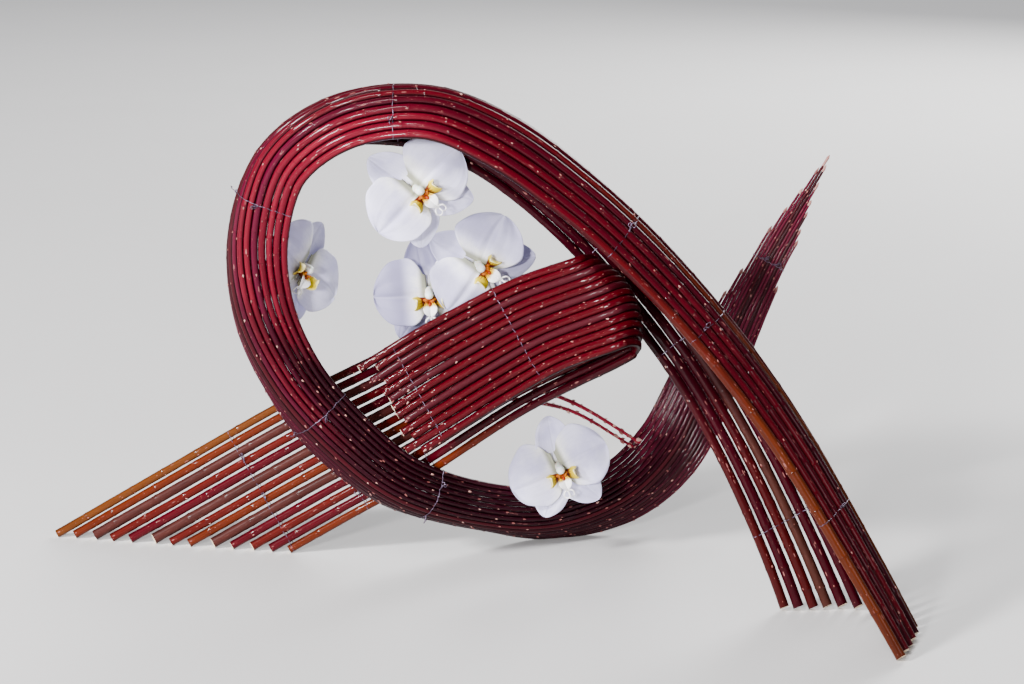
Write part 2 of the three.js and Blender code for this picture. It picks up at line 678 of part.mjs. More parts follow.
BLOOMS.forEach((bloom, i) => {
  const matrix = bloomMatrix(bloom);
  place(`orchid_${i + 1}_petals`, fromSolid(perianth()).applyMatrix4(matrix), petalWhite);
  place(`orchid_${i + 1}_lip`, fromSolid(lip()).applyMatrix4(matrix), lipYellow);
  place(`orchid_${i + 1}_stalk`, stalk(bloom), stalkGreen);
});

export default arrangement;
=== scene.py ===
"""Free-standing ikebana of red-barked canes and white moth orchids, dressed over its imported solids.

Lengths are in millimetres until a mesh is made, and metres after that.
"""

import math

import bpy
import numpy as np
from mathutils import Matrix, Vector
from numpy.random import default_rng


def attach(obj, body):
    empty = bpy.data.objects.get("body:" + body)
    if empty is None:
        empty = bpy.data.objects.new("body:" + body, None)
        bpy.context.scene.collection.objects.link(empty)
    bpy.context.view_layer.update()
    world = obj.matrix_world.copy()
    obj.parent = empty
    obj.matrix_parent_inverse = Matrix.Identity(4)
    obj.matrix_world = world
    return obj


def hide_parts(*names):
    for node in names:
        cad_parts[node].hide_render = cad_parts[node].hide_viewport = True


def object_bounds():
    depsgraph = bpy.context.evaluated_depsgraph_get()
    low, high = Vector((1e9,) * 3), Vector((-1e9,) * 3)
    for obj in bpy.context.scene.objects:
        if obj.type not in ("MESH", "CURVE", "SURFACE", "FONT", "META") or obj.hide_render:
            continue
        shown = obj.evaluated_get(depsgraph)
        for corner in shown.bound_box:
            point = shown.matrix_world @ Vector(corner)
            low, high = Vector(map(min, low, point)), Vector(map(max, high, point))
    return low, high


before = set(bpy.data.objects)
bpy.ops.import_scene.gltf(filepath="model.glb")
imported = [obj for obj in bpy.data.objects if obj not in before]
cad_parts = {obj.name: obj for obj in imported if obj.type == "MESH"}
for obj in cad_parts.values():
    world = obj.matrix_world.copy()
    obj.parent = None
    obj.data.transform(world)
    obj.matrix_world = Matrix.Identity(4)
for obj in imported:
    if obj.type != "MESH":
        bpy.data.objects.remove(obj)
cad_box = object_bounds()

MM = 0.001
INSIDE = (np.array(cad_box[0]) * [1, 1, 0], np.array(cad_box[1]))  # no point passes this box
CENTRE = np.array([-45.69, 93.85, 0.0])  # middle of the footprint, moved to the origin

# ---- the two ribbons, as the solids have them ----
SIGHT = np.array([0, 0.966, -0.259])  # section tilts are measured from this direction
CANE_GAP = 0.5
FOOT_SINK = 0.9  # how far below the floor a slanted foot's lowest corner would reach
STATION_STEP = 0.04  # between the sections that a cane's line is read from

LOOP_BUTT = 8.6
LOOP_TIP = 2.0
LOOP_BEND = 0.5  # the share of the section's width that is curled
# x, y, z of the section's middle, its tilt and its curl in degrees, and its spread
LOOP_STATIONS = np.array([
    [381, 5, -107, -30, 105, 1.70],
    [340, 8, -17, -30, 112, 1.50],
    [295, 16, 72, -28, 122, 1.32],
    [244, 34, 163, -24, 128, 1.22],
    [193, 50, 238, -18, 128, 1.18],
    [133, 64, 310, -12, 126, 1.20],
    [72, 68, 370, -8, 130, 1.18],
    [1, 68, 424, -6, 146, 1.15],
    [-70, 72, 450, -4, 150, 1.12],
    [-149, 74, 442, 8, 145, 1.10],
    [-211, 80, 398, 20, 135, 1.08],
    [-238, 86, 328, 34, 125, 1.06],
    [-235, 92, 252, 46, 115, 1.04],
    [-205, 98, 182, 57, 104, 1.00],
    [-158, 104, 123, 62, 95, 1.00],
    [-102, 116, 74, 60, 100, 1.00],
    [-30, 154, 38, 52, 100, 1.00],
    [40, 186, 24, 55, 80, 1.05],
    [106, 207, 43, 65, 55, 1.12],
    [152, 224, 85, 74, 35, 1.18],
    [183, 236, 148, 80, 25, 1.15],
    [210, 246, 202, 82, 20, 1.10],
    [240, 256, 256, 84, 15, 1.00],
    [268, 264, 305, 85, 10, 1.00],
    [296, 272, 354, 85, 10, 1.00],
])
# stations at which the canes end, and at which the wires lie
LOOP_ENDS = np.array([20.3, 20.8, 21.3, 21.7, 22.5, 22.9, 23.3, 23.7,
                      24.0, 23.8, 23.5, 23.2, 23.0, 22.7, 22.5, 21.7])
LOOP_TIES = [2.36, 4.3, 5.5, 8.36, 10.6, 13.6, 15.4, 22.06]

FOLD_RADIUS = 20
FOLD_FACING = np.array([-0.22, -0.77, 0.60])
FOLD_BOW = 14
FOLD_FRONT = np.array([[49, 48, 306], [84, 0, 245]])
# upper edge and lower edge of the fan, from below the floor up to the fold
FAN_BACK = [
    [[-515, 230, -49], [-425, 198, -151]],
    [[-440, 216, -1], [-363, 190, -94]],
    [[-323, 197, 73], [-261, 178, -30]],
    [[-211, 178, 143], [-155, 164, 37]],
    [[-131, 156, 189], [-80, 148.9, 85]],
    [[-33, 127, 246], [11, 100, 161]],
]
# the same edges of the front layer, from the fold back down to the cut ends
FAN_FRONT = [
    [[3, 76, 283], [42, 32, 220]],
    [[-41, 92, 257], [0, 58, 188]],
    [[-90, 106, 226], [-46, 82, 151]],
    [[-137, 112, 194], [-94, 94, 116]],
]
FAN_BUTTS = np.array([6.6, 7.2, 9.4, 7.2, 8.0, 10.4, 7.0, 7.4, 10.8, 7.6, 8.8, 8.0, 7.2])
FAN_TIP = 5.8  # thickness beyond the fold
FAN_TIES = [2.52, 3.26, 4.1, 11.4, 13.3]

SPRAYS = [
    {"cane": 8, "station": 4.95, "points": [[58, 152, 151], [118, 175, 107]], "tip": 1.6},
    {"cane": 10, "station": 4.9, "points": [[54, 160, 142], [112, 185, 100]], "tip": 1.4},
]
SPRAY_BUTT = 3.4
STALK_TIP = 2.5

# centre, the way the bloom faces, the turn of its top sepal (degrees, face on) and its scale;
# seat: ribbon, cane, station and side that carry it, and how far the stalk runs straight back first;
# sway: degrees by which its sepals (top, left, right) and its petals (right, left) stray
BLOOMS = [
    {"at": [-186, 128, 284], "faces": [0.78, -0.62, 0.08], "turn": -45, "scale": 0.98,
     "seat": ("loop", 13, 11.5, -1, 14), "sway": (0, 0, 0, 0, 0)},
    {"at": [-80, 64, 366], "faces": [0.12, -0.97, 0.20], "turn": 47, "scale": 1.0,
     "seat": ("loop", 14, 8.1, -1, 14), "sway": (9, 0, -6, -4, 1)},
    {"at": [-28, 104, 292], "faces": [-0.03, -0.99, 0.03], "turn": 60, "scale": 1.0,
     "seat": ("fan", 0, 5.5, -1, 13), "sway": (2, -6, 0, 2, -3)},
    {"at": [-73, 118, 264], "faces": [0.02, -0.98, 0.16], "turn": 5, "scale": 1.0,
     "seat": ("fan", 0, 4.5, 1, 14), "sway": (8, 7, 0, 0, 1)},
    {"at": [43, 150, 91], "faces": [0.05, -0.96, 0.22], "turn": 20, "scale": 0.98,
     "seat": ("loop", 1, 17.1, 1, 14), "sway": (-8, 8, -6, 5, 6)},
]

# ---- fine detail ----
CANE_SIDES = 14
RING_STEP = 7.0  # between the rings of a plain stretch of cane
NODE_OFFSETS = [-4.0, -2.0, -1.0, -0.45, 0.0, 0.45, 1.0, 2.0, 4.0]  # rings about a bud node
NODE_SPACING = (50.0, 24.0)  # between bud nodes, at the butt and at the tip
# how much thicker the bark is than its solid, against the gap between neighbouring canes
GAPS, FILLS = [0.0, 0.9, 1.6, 2.6, 6.0], [0.0, 0.44, 0.76, 0.6, 0.2]
CUT_BEVEL = 0.35
CUT_SLOPE = 0.5  # how steeply the cut ends slant
CUT_FACING = np.array([0.05, -0.95, 0.30])  # the side that a slanted cut shows
CUT_PROFILE = ((1.0, 0.0), (0.9, 0.0), (0.55, 0.1), (0.22, 0.25), (0.03, 0.4))  # share of the rim, dip
TIP_NODES = np.array([6, 17])  # last nodes of a cut cane, from its end
TIP_ZONE = 50  # from the cut tip; no bud is missing here
TIP_BUD_SCALE = 1.15
BUD_LENGTH = (2.0, 3.6)
BUD_MISSING = 0.12  # share of the buds that a node lacks
LOWEST_BUD = 3  # above the floor
BUD_SIDES = 6
# share of a bud's length, and its half width there as a share of the greatest
BUD_PROFILE = [(0.0, 0.62), (0.16, 0.95), (0.36, 1.0), (0.6, 0.78), (0.82, 0.4), (1.0, 0.06)]
# the same for the bud that ends a cane, as a share of the cane's own half width
END_BUD_PROFILE = [(0.1, 1.15), (0.35, 1.2), (0.65, 0.8), (0.88, 0.35), (1.0, 0.06)]
DOME = [(1.0, 0.05), (0.75, 0.62), (0.35, 0.92)]  # height and radius of a domed end's rings
WIRE_RADIUS = 0.34
WIRE_SIDES = 6
WIRE_AIR = 0.12  # between a wire and a cane's solid
LOWEST_TWIST = 12  # above the floor


# ---- small maths ----
def unit(v):
    return v / np.linalg.norm(v, axis=-1, keepdims=True)


def lerp(a, b, f):
    return a + (b - a) * f


def square_to(v, axis):
    """v without its part along the unit axis, as a unit vector."""
    return unit(v - axis * np.sum(v * axis, axis=-1, keepdims=True))


def smooth(low, high, x):
    f = np.clip((x - low) / (high - low), 0, 1)
    return f * f * (3 - 2 * f)


def catmull_rom(a, b, c, d, f):
    """The curve's point between b and c at share f."""
    return 0.5 * (2 * b + (c - a) * f + (2 * a - 5 * b + 4 * c - d) * f * f
                  + (3 * b - a - 3 * c + d) * f ** 3)


def through(rows, t):
    """Uniform Catmull-Rom curve through rows of numbers, at station t."""
    rows = np.asarray(rows, float)
    last = len(rows) - 1
    k = min(max(math.floor(t), 0), last - 1)
    f = t - k
    b, c = rows[k], rows[k + 1]
    a = rows[k - 1] if k > 0 else 2 * rows[0] - rows[1]
    d = rows[k + 2] if k + 2 <= last else 2 * rows[last] - rows[last - 1]
    return catmull_rom(a, b, c, d, f)


def curve(rows, steps):
    """Points of the Catmull-Rom curve through rows, steps to each span."""
    count = (len(rows) - 1) * steps
    return np.array([through(rows, k / steps) for k in range(count + 1)])


# ---- the ribbons' sections ----
def loop_radius(t):
    canes = np.arange(len(LOOP_ENDS))
    middle = lerp(LOOP_BUTT, LOOP_TIP, t / (len(LOOP_STATIONS) - 1))
    return middle * (1 + 0.06 * np.sin(2.4 * canes)) / 2


def loop_section(t):
    """Centre, outward normal and radius of every cane of the loop at station t, and their tangent."""
    step = 1e-3
    q = through(LOOP_STATIONS, t)
    tangent = unit(through(LOOP_STATIONS, t + step)[:3] - through(LOOP_STATIONS, t - step)[:3])
    away = square_to(SIGHT, tangent)
    outward = np.cross(away, tangent)
    tilt = math.radians(q[3])
    across = away * math.cos(tilt) + outward * math.sin(tilt)
    normal = np.cross(across, tangent)
    radii = loop_radius(t)
    kept = np.where(t <= LOOP_ENDS, 1.0, np.clip(1 - (t - LOOP_ENDS), 0.02, 1))
    widths = (2 * radii + CANE_GAP) * kept
    slots = np.cumsum(widths) - widths / 2
    width = widths.sum() * q[5]
    curl = math.radians(q[4])
    bent = LOOP_BEND * width / 2
    bend_radius = 2 * bent / curl
    s = slots * q[5] - width / 2
    m = np.clip(s, -bent, bent)
    over = s - m
    angle = m / bend_radius
    sideways = bend_radius * np.sin(angle) + over * math.cos(curl / 2)
    depth = bend_radius * (1 - np.cos(angle)) + np.abs(over) * math.sin(curl / 2)
    centre = q[:3] + across * sideways[:, None] - normal * depth[:, None]
    normals = normal * np.cos(angle)[:, None] + across * np.sin(angle)[:, None]
    return centre, normals, tangent, radii


def fan_rows():
    """Edge rows of the fan: upper point, lower point and the bow of the canes between them."""
    upper, lower = FOLD_FRONT.astype(float)
    down = unit(lower - upper)
    out = square_to(FOLD_FACING, down)
    reach = np.cross(out, down)
    straight = [[*a, *b, 0, 0, 0] for a, b in FAN_BACK]
    back = [[*a, *b, 0, 0, 0] for a, b in FAN_FRONT]
    fold = []
    for degrees in (-90, -45, 0, 45, 90):
        a = math.radians(degrees)
        turn = reach * FOLD_RADIUS * math.cos(a) + out * FOLD_RADIUS * (math.sin(a) - 1)
        bow = reach * FOLD_BOW * (0.6 if abs(degrees) == 90 else 1)
        fold.append([*(upper + turn), *(lower + turn), *bow])
    return np.array(straight + fold + back)


FAN_ROWS = fan_rows()


def fan_radius(t):
    return lerp(FAN_BUTTS, FAN_TIP, min(t / 6, 1)) / 2


def fan_section(t):
    """Centre, normal and radius of every cane of the fan at station t, and their tangent."""
    step = 1e-3
    q = through(FAN_ROWS, t)
    ahead, behind = through(FAN_ROWS, t + step), through(FAN_ROWS, t - step)
    tangent = unit(ahead[:3] + ahead[3:6] - behind[:3] - behind[3:6])
    upper, span = q[:3], q[3:6] - q[:3]
    across = square_to(span, tangent)
    normal = np.cross(across, tangent)
    radii = fan_radius(t)
    widths = 2 * radii + CANE_GAP
    slots = np.cumsum(widths) - widths / 2
    s = ((slots - slots[0]) / (slots[-1] - slots[0]))[:, None]
    centre = upper + span * s + q[6:9] * 4 * s * (1 - s)
    return centre, np.repeat(normal[None], len(radii), axis=0), tangent, radii


def foot_station(section, cane, low, high):
    """Station at which a cane's lowest corner dips FOOT_SINK below the floor."""
    for _ in range(30):
        mid = (low + high) / 2
        centre, _, tangent, radii = section(mid)
        lowest = centre[cane][2] - radii[cane] * math.sqrt(1 - tangent[2] ** 2) + FOOT_SINK
        if lowest < 0:
            low = mid
        else:
            high = mid
    return low


def filled_radii(centre, radii):
    """Radii of a section's canes, thickened so that close neighbours all but touch."""
    spacing = np.linalg.norm(np.diff(centre, axis=0), axis=1)
    gaps = spacing - radii[1:] - radii[:-1]
    least = np.minimum(np.append(gaps, gaps[-1]), np.append(gaps[0], gaps))
    return radii + np.interp(least, GAPS, FILLS)


class Run:
    """One cane's line: its centre, frame and radius at any length from its foot."""

    def __init__(self, section, cane, first, last):
        stations = np.append(np.arange(first, last, STATION_STEP), last)
        rows = [section(t) for t in stations]
        self.centre = np.array([r[0][cane] for r in rows])
        self.normal = np.array([r[1][cane] for r in rows])
        self.tangent = unit(np.gradient(self.centre, axis=0))
        self.radius = np.array([filled_radii(r[0], r[3])[cane] for r in rows])
        steps = np.linalg.norm(np.diff(self.centre, axis=0), axis=1)
        self.lengths = np.append(0, np.cumsum(steps))
        self.length = self.lengths[-1]

    def at(self, s):
        """Centre, normal, side, tangent and radius at lengths s."""
        def pick(values):
            columns = [np.interp(s, self.lengths, column) for column in values.T]
            return np.stack(columns, axis=-1)
        tangent = unit(pick(self.tangent))
        normal = square_to(pick(self.normal), tangent)
        side = np.cross(tangent, normal)
        return pick(self.centre), normal, side, tangent, np.interp(s, self.lengths, self.radius)


# ---- meshes ----
def added(name, data):
    """The scene's new object for a mesh, a light or the camera."""
    obj = bpy.data.objects.new(name, data)
    bpy.context.scene.collection.objects.link(obj)
    return obj


class Form:
    """Points and faces of one piece, and the values that its materials read, before it is a mesh."""

    def __init__(self):
        self.points, self.grain, self.faces, self.skins = [], [], [], []
        self.values = {"age": [], "mark": []}
        self.count = 0

    def add(self, points, faces, skin, grain=None, *, age, mark=0.0):
        """Adds a part; skin is its material's place, grain is what its texture follows."""
        points = np.asarray(points, float).reshape(-1, 3)
        self.points.append(points)
        self.grain.append(points if grain is None else np.reshape(grain, (-1, 3)))
        for key, value in (("age", age), ("mark", mark)):
            self.values[key].append(np.broadcast_to(np.ravel(value), len(points)))
        self.faces += [[i + self.count for i in face] for face in faces]
        self.skins += [skin] * len(faces)
        self.count += len(points)

    def piece(self, name, materials, node):
        """Makes the mesh object, which rides on the root body in place of its solid."""
        points = (np.concatenate(self.points) - CENTRE) * MM
        points = np.clip(points, *INSIDE)
        mesh = bpy.data.meshes.new(name)
        mesh.from_pydata(points.tolist(), [], self.faces)
        for material in materials:
            mesh.materials.append(material)
        mesh.polygons.foreach_set("material_index", self.skins)
        mesh.polygons.foreach_set("use_smooth", [True] * len(self.faces))
        grain = mesh.attributes.new("grain", "FLOAT_VECTOR", "POINT")
        grain.data.foreach_set("vector", (np.concatenate(self.grain) * MM).ravel())
        for key, values in self.values.items():
            attribute = mesh.attributes.new(key, "FLOAT", "POINT")
            attribute.data.foreach_set("value", np.concatenate(values).astype(float))
        mesh.update()
        obj = added(name, mesh)
        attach(obj, "root")
        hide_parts(node)


def tube_faces(rings, sides, closed=False, foot=False, head=False):
    """Quads between successive rings of points, and faces over its foot and its head."""
    faces = []
    for r in range(rings if closed else rings - 1):
        a, b = r * sides, ((r + 1) % rings) * sides
        for s in range(sides):
            s2 = (s + 1) % sides
            faces.append([a + s, a + s2, b + s2, b + s])
    if foot:
        faces.append(list(range(sides))[::-1])
    if head:
        faces.append([(rings - 1) * sides + s for s in range(sides)])
    return faces


def circle(sides):
    angles = np.arange(sides) * 2 * math.pi / sides
    return angles, np.cos(angles), np.sin(angles)


def moving_frames(points, closed=False):
    """Tangent and two square directions at each point of a path, without twist."""
    if closed:
        tangents = unit(np.roll(points, -1, axis=0) - np.roll(points, 1, axis=0))
    else:
        tangents = unit(np.gradient(points, axis=0))
    seed = np.array([0, 0, 1.0]) if abs(tangents[0][2]) < 0.9 else np.array([1.0, 0, 0])
    ups = []
    for tangent in tangents:
        seed = square_to(seed, tangent)
        ups.append(seed)
    ups = np.array(ups)
    return tangents, ups, np.cross(tangents, ups)


def add_tube(form, points, radii, sides, skin, closed=False, age=0.0):
    """Round tube along a path, with domed ends unless it is closed."""
    points = np.asarray(points, float)
    radii = np.broadcast_to(radii, len(points)).astype(float)
    tangents, ups, across = moving_frames(points, closed)
    if not closed:
        heights, widths = np.array(DOME).T
        head = [points[0] - tangents[0] * radii[0] * k for k in heights]
        tail = [points[-1] + tangents[-1] * radii[-1] * k for k in heights[::-1]]
        points = np.concatenate([head, points, tail])
        more = len(DOME)
        ups, across = [np.concatenate([[d[0]] * more, d, [d[-1]] * more]) for d in (ups, across)]
        radii = np.concatenate([widths * radii[0], radii, widths[::-1] * radii[-1]])
    _, cos, sin = circle(sides)
    ring = ups[:, None, :] * cos[None, :, None] + across[:, None, :] * sin[None, :, None]
    rings = points[:, None, :] + ring * radii[:, None, None]
    faces = tube_faces(len(points), sides, closed, not closed, not closed)
    form.add(rings, faces, skin, age=age)


def add_sheet(form, points, thickness, skin, age, mark):
    """Thin closed sheet over a grid of points, with a thickness for each point."""
    nu, nv = points.shape[:2]
    du = np.gradient(points, axis=0)
    dv = np.gradient(points, axis=1)
    normals = np.cross(du, dv)
    size = np.linalg.norm(normals, axis=2, keepdims=True)
    normals = normals / np.maximum(size, 1e-9)
    half = np.broadcast_to(thickness, (nu, nv))[:, :, None] / 2
    index = np.arange(nu * nv).reshape(nu, nv)
    a, b = index[:-1, :-1].ravel(), index[1:, :-1].ravel()
    c, d = index[1:, 1:].ravel(), index[:-1, 1:].ravel()
    under = nu * nv
    faces = np.stack([a, b, c, d], axis=1).tolist()
    faces += (np.stack([a, d, c, b], axis=1) + under).tolist()
    rim = [*index[:-1, 0], *index[-1, :-1], *index[:0:-1, -1], *index[0, :0:-1]]
    for k, first in enumerate(rim):
        second = rim[(k + 1) % len(rim)]
        faces.append([first, first + under, second + under, second])
    both = np.concatenate([(points + normals * half).reshape(-1, 3),
                           (points - normals * half).reshape(-1, 3)])
    form.add(both, faces, skin, age=np.tile(np.ravel(age), 2), mark=np.tile(np.ravel(mark), 2))


def add_bud(form, root, along_cane, outward, length, width, lean, skin, shade):
    """Small pointed bud that leans off the cane, its scales closed over it."""
    rise = unit(along_cane + outward * lean)
    v = unit(np.cross(rise, outward))
    u = np.cross(v, rise)
    _, cos, sin = circle(BUD_SIDES)
    rings = []
    for f, r in BUD_PROFILE:
        centre = root + rise * length * f - outward * width * 0.35 * f * f
        rings.append(centre + (u * cos[:, None] * 0.8 + v * sin[:, None]) * r * width)
    faces = tube_faces(len(rings), BUD_SIDES, foot=True, head=True)
    heights = np.repeat([f for f, _ in BUD_PROFILE], BUD_SIDES)
    form.add(np.concatenate(rings), faces, skin, age=heights, mark=shade)


# ---- canes ----
BARK, CUT, BUDS = 0, 1, 2


def node_lengths(run, random, tip):
    """Lengths from the foot at which a cane carries its bud nodes."""
    places = []
    s = random.uniform(18, 50)
    while s < run.length - 6:
        places.append(s)
        s += lerp(*NODE_SPACING, s / run.length) * random.uniform(0.75, 1.3)
    if tip == "cut":
        places += list(run.length - TIP_NODES * random.uniform(0.7, 1.4))
    return np.array(places)


def add_cane(form, run, random, tip):
    """Bark with a swelling at each node, its buds, a cut foot, and a tip that is cut or a bud."""
    places = node_lengths(run, random, tip)
    lengths = [np.arange(0.6, run.length - 0.6, RING_STEP)]
    lengths += [places + offset for offset in NODE_OFFSETS]
    s = np.unique(np.round(np.concatenate([[CUT_BEVEL], *lengths, [run.length - CUT_BEVEL]]), 3))
    s = s[(s >= CUT_BEVEL) & (s <= run.length - CUT_BEVEL)]
    centre, normal, side, tangent, radius = run.at(s)
    off = np.abs(s[:, None] - places[None, :]).min(axis=1)
    swelling = 0.045 * np.exp(-(off / 2.2) ** 2) + 0.03 * np.exp(-(off / 0.5) ** 2)
    fine = 0.012 * np.sin(s / 9 + random.uniform(0, 6)) + 0.008 * np.sin(s / 3.1)
    radius = radius * (1 + swelling + fine)
    mark = np.exp(-(off / 0.75) ** 2)

    angles, cos, sin = circle(CANE_SIDES)
    oval = 1 + 0.02 * np.cos(2 * angles + random.uniform(0, 6))
    ring = normal[:, None, :] * cos[None, :, None] + side[:, None, :] * sin[None, :, None]
    rings = centre[:, None, :] + ring * (radius[:, None] * oval)[:, :, None]
    facing = ring @ CUT_FACING
    ends = [(s, 1)] if tip == "bud" else [(s, 1), (run.length - s, -1)]
    for away, way in ends:
        cut = CUT_SLOPE * random.uniform(0.6, 1.3)
        reach = 2.4 * cut * radius[:, None] + 1
        trim = cut * radius[:, None] * (1 + facing) * np.clip(1 - away[:, None] / reach, 0, 1)
        rings = rings + tangent[:, None, :] * (way * trim)[:, :, None]
    grain = np.stack([np.outer(radius, cos), np.outer(radius, sin),
                      np.repeat(s[:, None], CANE_SIDES, axis=1)], axis=-1)
    form.add(rings, tube_faces(len(s), CANE_SIDES), BARK, grain,
             age=np.repeat(s / run.length, CANE_SIDES), mark=np.repeat(mark, CANE_SIDES))
    add_cut(form, rings[0], grain[0], -run.at(0.0)[3], at_foot=True)
    if tip == "cut":
        add_cut(form, rings[-1], grain[-1], run.at(run.length)[3])
    else:
        add_tip_bud(form, run, rings[-1], random)
    add_buds(form, run, places, random, tip)


def add_cut(form, rim, grain, outward, at_foot=False):
    """Cut end of a cane: the bark's edge, the pale wood and the pith in its middle."""
    centre = rim.mean(axis=0)
    rings = [centre + (rim - centre) * share - outward * dip for share, dip in CUT_PROFILE]
    grains = [grain * [share, share, 1] for share, _ in CUT_PROFILE]
    shares = np.repeat([share for share, _ in CUT_PROFILE], len(rim))
    faces = tube_faces(len(rings), len(rim), head=True)
    if at_foot:
        faces = [face[::-1] for face in faces]
    form.add(np.concatenate(rings), faces, CUT, np.concatenate(grains), age=shares)


def add_tip_bud(form, run, rim, random):
    """Pointed bud that ends a thin cane."""
    centre, _, _, tangent, _ = run.at(run.length)
    length = random.uniform(5, 8)
    spread = rim - rim.mean(axis=0)
    rings = [rim] + [centre + tangent * (length * f) + spread * r for f, r in END_BUD_PROFILE]
    ages = np.repeat([0.0] + [f for f, _ in END_BUD_PROFILE], len(rim))
    form.add(np.concatenate(rings), tube_faces(len(rings), len(rim), head=True), BUDS, age=ages,
             mark=random.uniform(0, 1))


def add_buds(form, run, places, random, tip):
    """Opposite buds at each node, now and then one missing, and none missing near a cut tip."""
    centre, normal, side, tangent, radius = run.at(places)
    for k, place in enumerate(places):
        near_tip = tip == "cut" and run.length - place < TIP_ZONE
        tilt = random.uniform(-0.9, 0.9)
        for way in (0, math.pi):
            if random.uniform(0, 1) < BUD_MISSING and not near_tip:
                continue
            a = tilt + way + random.uniform(-0.15, 0.15)
            outward = normal[k] * math.cos(a) + side[k] * math.sin(a)
            root = centre[k] + outward * radius[k] * 0.82
            if root[2] < LOWEST_BUD:
                continue
            length = random.uniform(*BUD_LENGTH) * (TIP_BUD_SCALE if near_tip else 1)
            add_bud(form, root, tangent[k], outward, length, 0.26 * length,
                    random.uniform(0.3, 0.8), BUDS, random.uniform(0, 1))


class Ribbon:
    """Canes laid side by side, each with its run."""

    def __init__(self, name, section, lasts):
        self.name, self.section, self.lasts = name, section, np.array(lasts)
        self.runs = [Run(section, i, foot_station(section, i, 0, 4), last)
                     for i, last in enumerate(lasts)]


loop = Ribbon("loop", loop_section, LOOP_ENDS)
fan = Ribbon("fan", fan_section,
             [len(FAN_ROWS) - 1 - 0.25 * abs(math.sin(i * 1.7)) for i in range(len(FAN_BUTTS))])


# ---- wire ties ----
def wire_path(ribbon, t, random):
    """Closed line of a wire laid over and under every cane that reaches station t."""
    centre, normal, tangent, radii = ribbon.section(t)
    kept = t <= ribbon.lasts
    centre, normal, radii = centre[kept], normal[kept], radii[kept]
    lateral = square_to(unit(np.gradient(centre, axis=0)), normal)
    offset = radii + WIRE_RADIUS + WIRE_AIR

    def at(i, degrees):
        a = math.radians(degrees)
        out = normal[i] * math.cos(a) + lateral[i] * math.sin(a)
        return centre[i] + out * offset[i] + tangent * random.uniform(-0.5, 0.5)

    last = len(radii) - 1
    points = []
    for i in range(last + 1):
        points += [at(i, degrees) for degrees in (-28, 28)]
    points += [at(last, degrees) for degrees in (65, 90, 115)]
    for i in range(last, -1, -1):
        points += [at(i, degrees) for degrees in (152, 208)]
    points += [at(0, degrees) for degrees in (245, 270, 295)]
    return np.array(points), (centre, normal, lateral, tangent, radii)


def closed_curve(points, steps):
    """Closed Catmull-Rom curve through points."""
    a, b = np.roll(points, 1, axis=0), points
    c, d = np.roll(points, -1, axis=0), np.roll(points, -2, axis=0)
    out = [catmull_rom(a, b, c, d, k / steps) for k in range(steps)]
    return np.stack(out, axis=1).reshape(-1, 3)


def add_twist(form, root, outward, along, length, random):
    """Twisted end of a tie: two strands wound round each other, then each curled away."""
    axis = unit(along + outward * 0.35)
    u = square_to(outward, axis)
    v = np.cross(axis, u)
    turns, steps, curl_steps = 3.0, 30, 14
    for phase in (0, math.pi):
        points = []
        for k in range(steps + 1):
            a = 2 * math.pi * turns * k / steps + phase
            strand = (u * math.cos(a) + v * math.sin(a)) * WIRE_RADIUS * 1.05
            points.append(root + axis * length * k / steps + strand)
        curl = random.uniform(1.4, 2.6)
        start = points[-1]
        aside = u * math.cos(phase + 0.6) + v * math.sin(phase + 0.6)
        for k in range(1, curl_steps + 1):
            a = k / curl_steps * random.uniform(4.2, 5.4)
            points.append(start + axis * curl * math.sin(a) + aside * curl * (1 - math.cos(a)) * 0.8
                          + u * 0.10 * k)
        add_tube(form, points, WIRE_RADIUS, WIRE_SIDES, 0)


def add_tie(form, ribbon, t, random):
    """Wire round a ribbon at station t, with two twisted ends."""
    points, (centre, normal, lateral, tangent, radii) = wire_path(ribbon, t, random)
    add_tube(form, closed_curve(points, 4), WIRE_RADIUS, WIRE_SIDES, 0, closed=True)
    for share in (random.uniform(0.1, 0.3), random.uniform(0.6, 0.9)):
        i = int(share * (len(radii) - 1))
        root = centre[i] + normal[i] * (radii[i] + WIRE_RADIUS * 2)
        if root[2] > LOWEST_TWIST:
            along = unit(lateral[i] * (-1, 1)[random.integers(2)] + tangent * 0.5)
            add_twist(form, root, normal[i], along, random.uniform(4, 7), random)


# ---- orchids ----
def grid(nu, nv):
    """u from the root to the tip, drawn together towards the tip, and v from side to side."""
    u = np.sin(np.linspace(0, 1, nu) * math.pi / 2) ** 1.15 * 0.998
    v = np.linspace(-1, 1, nv)
    return np.meshgrid(u, v, indexing="ij")


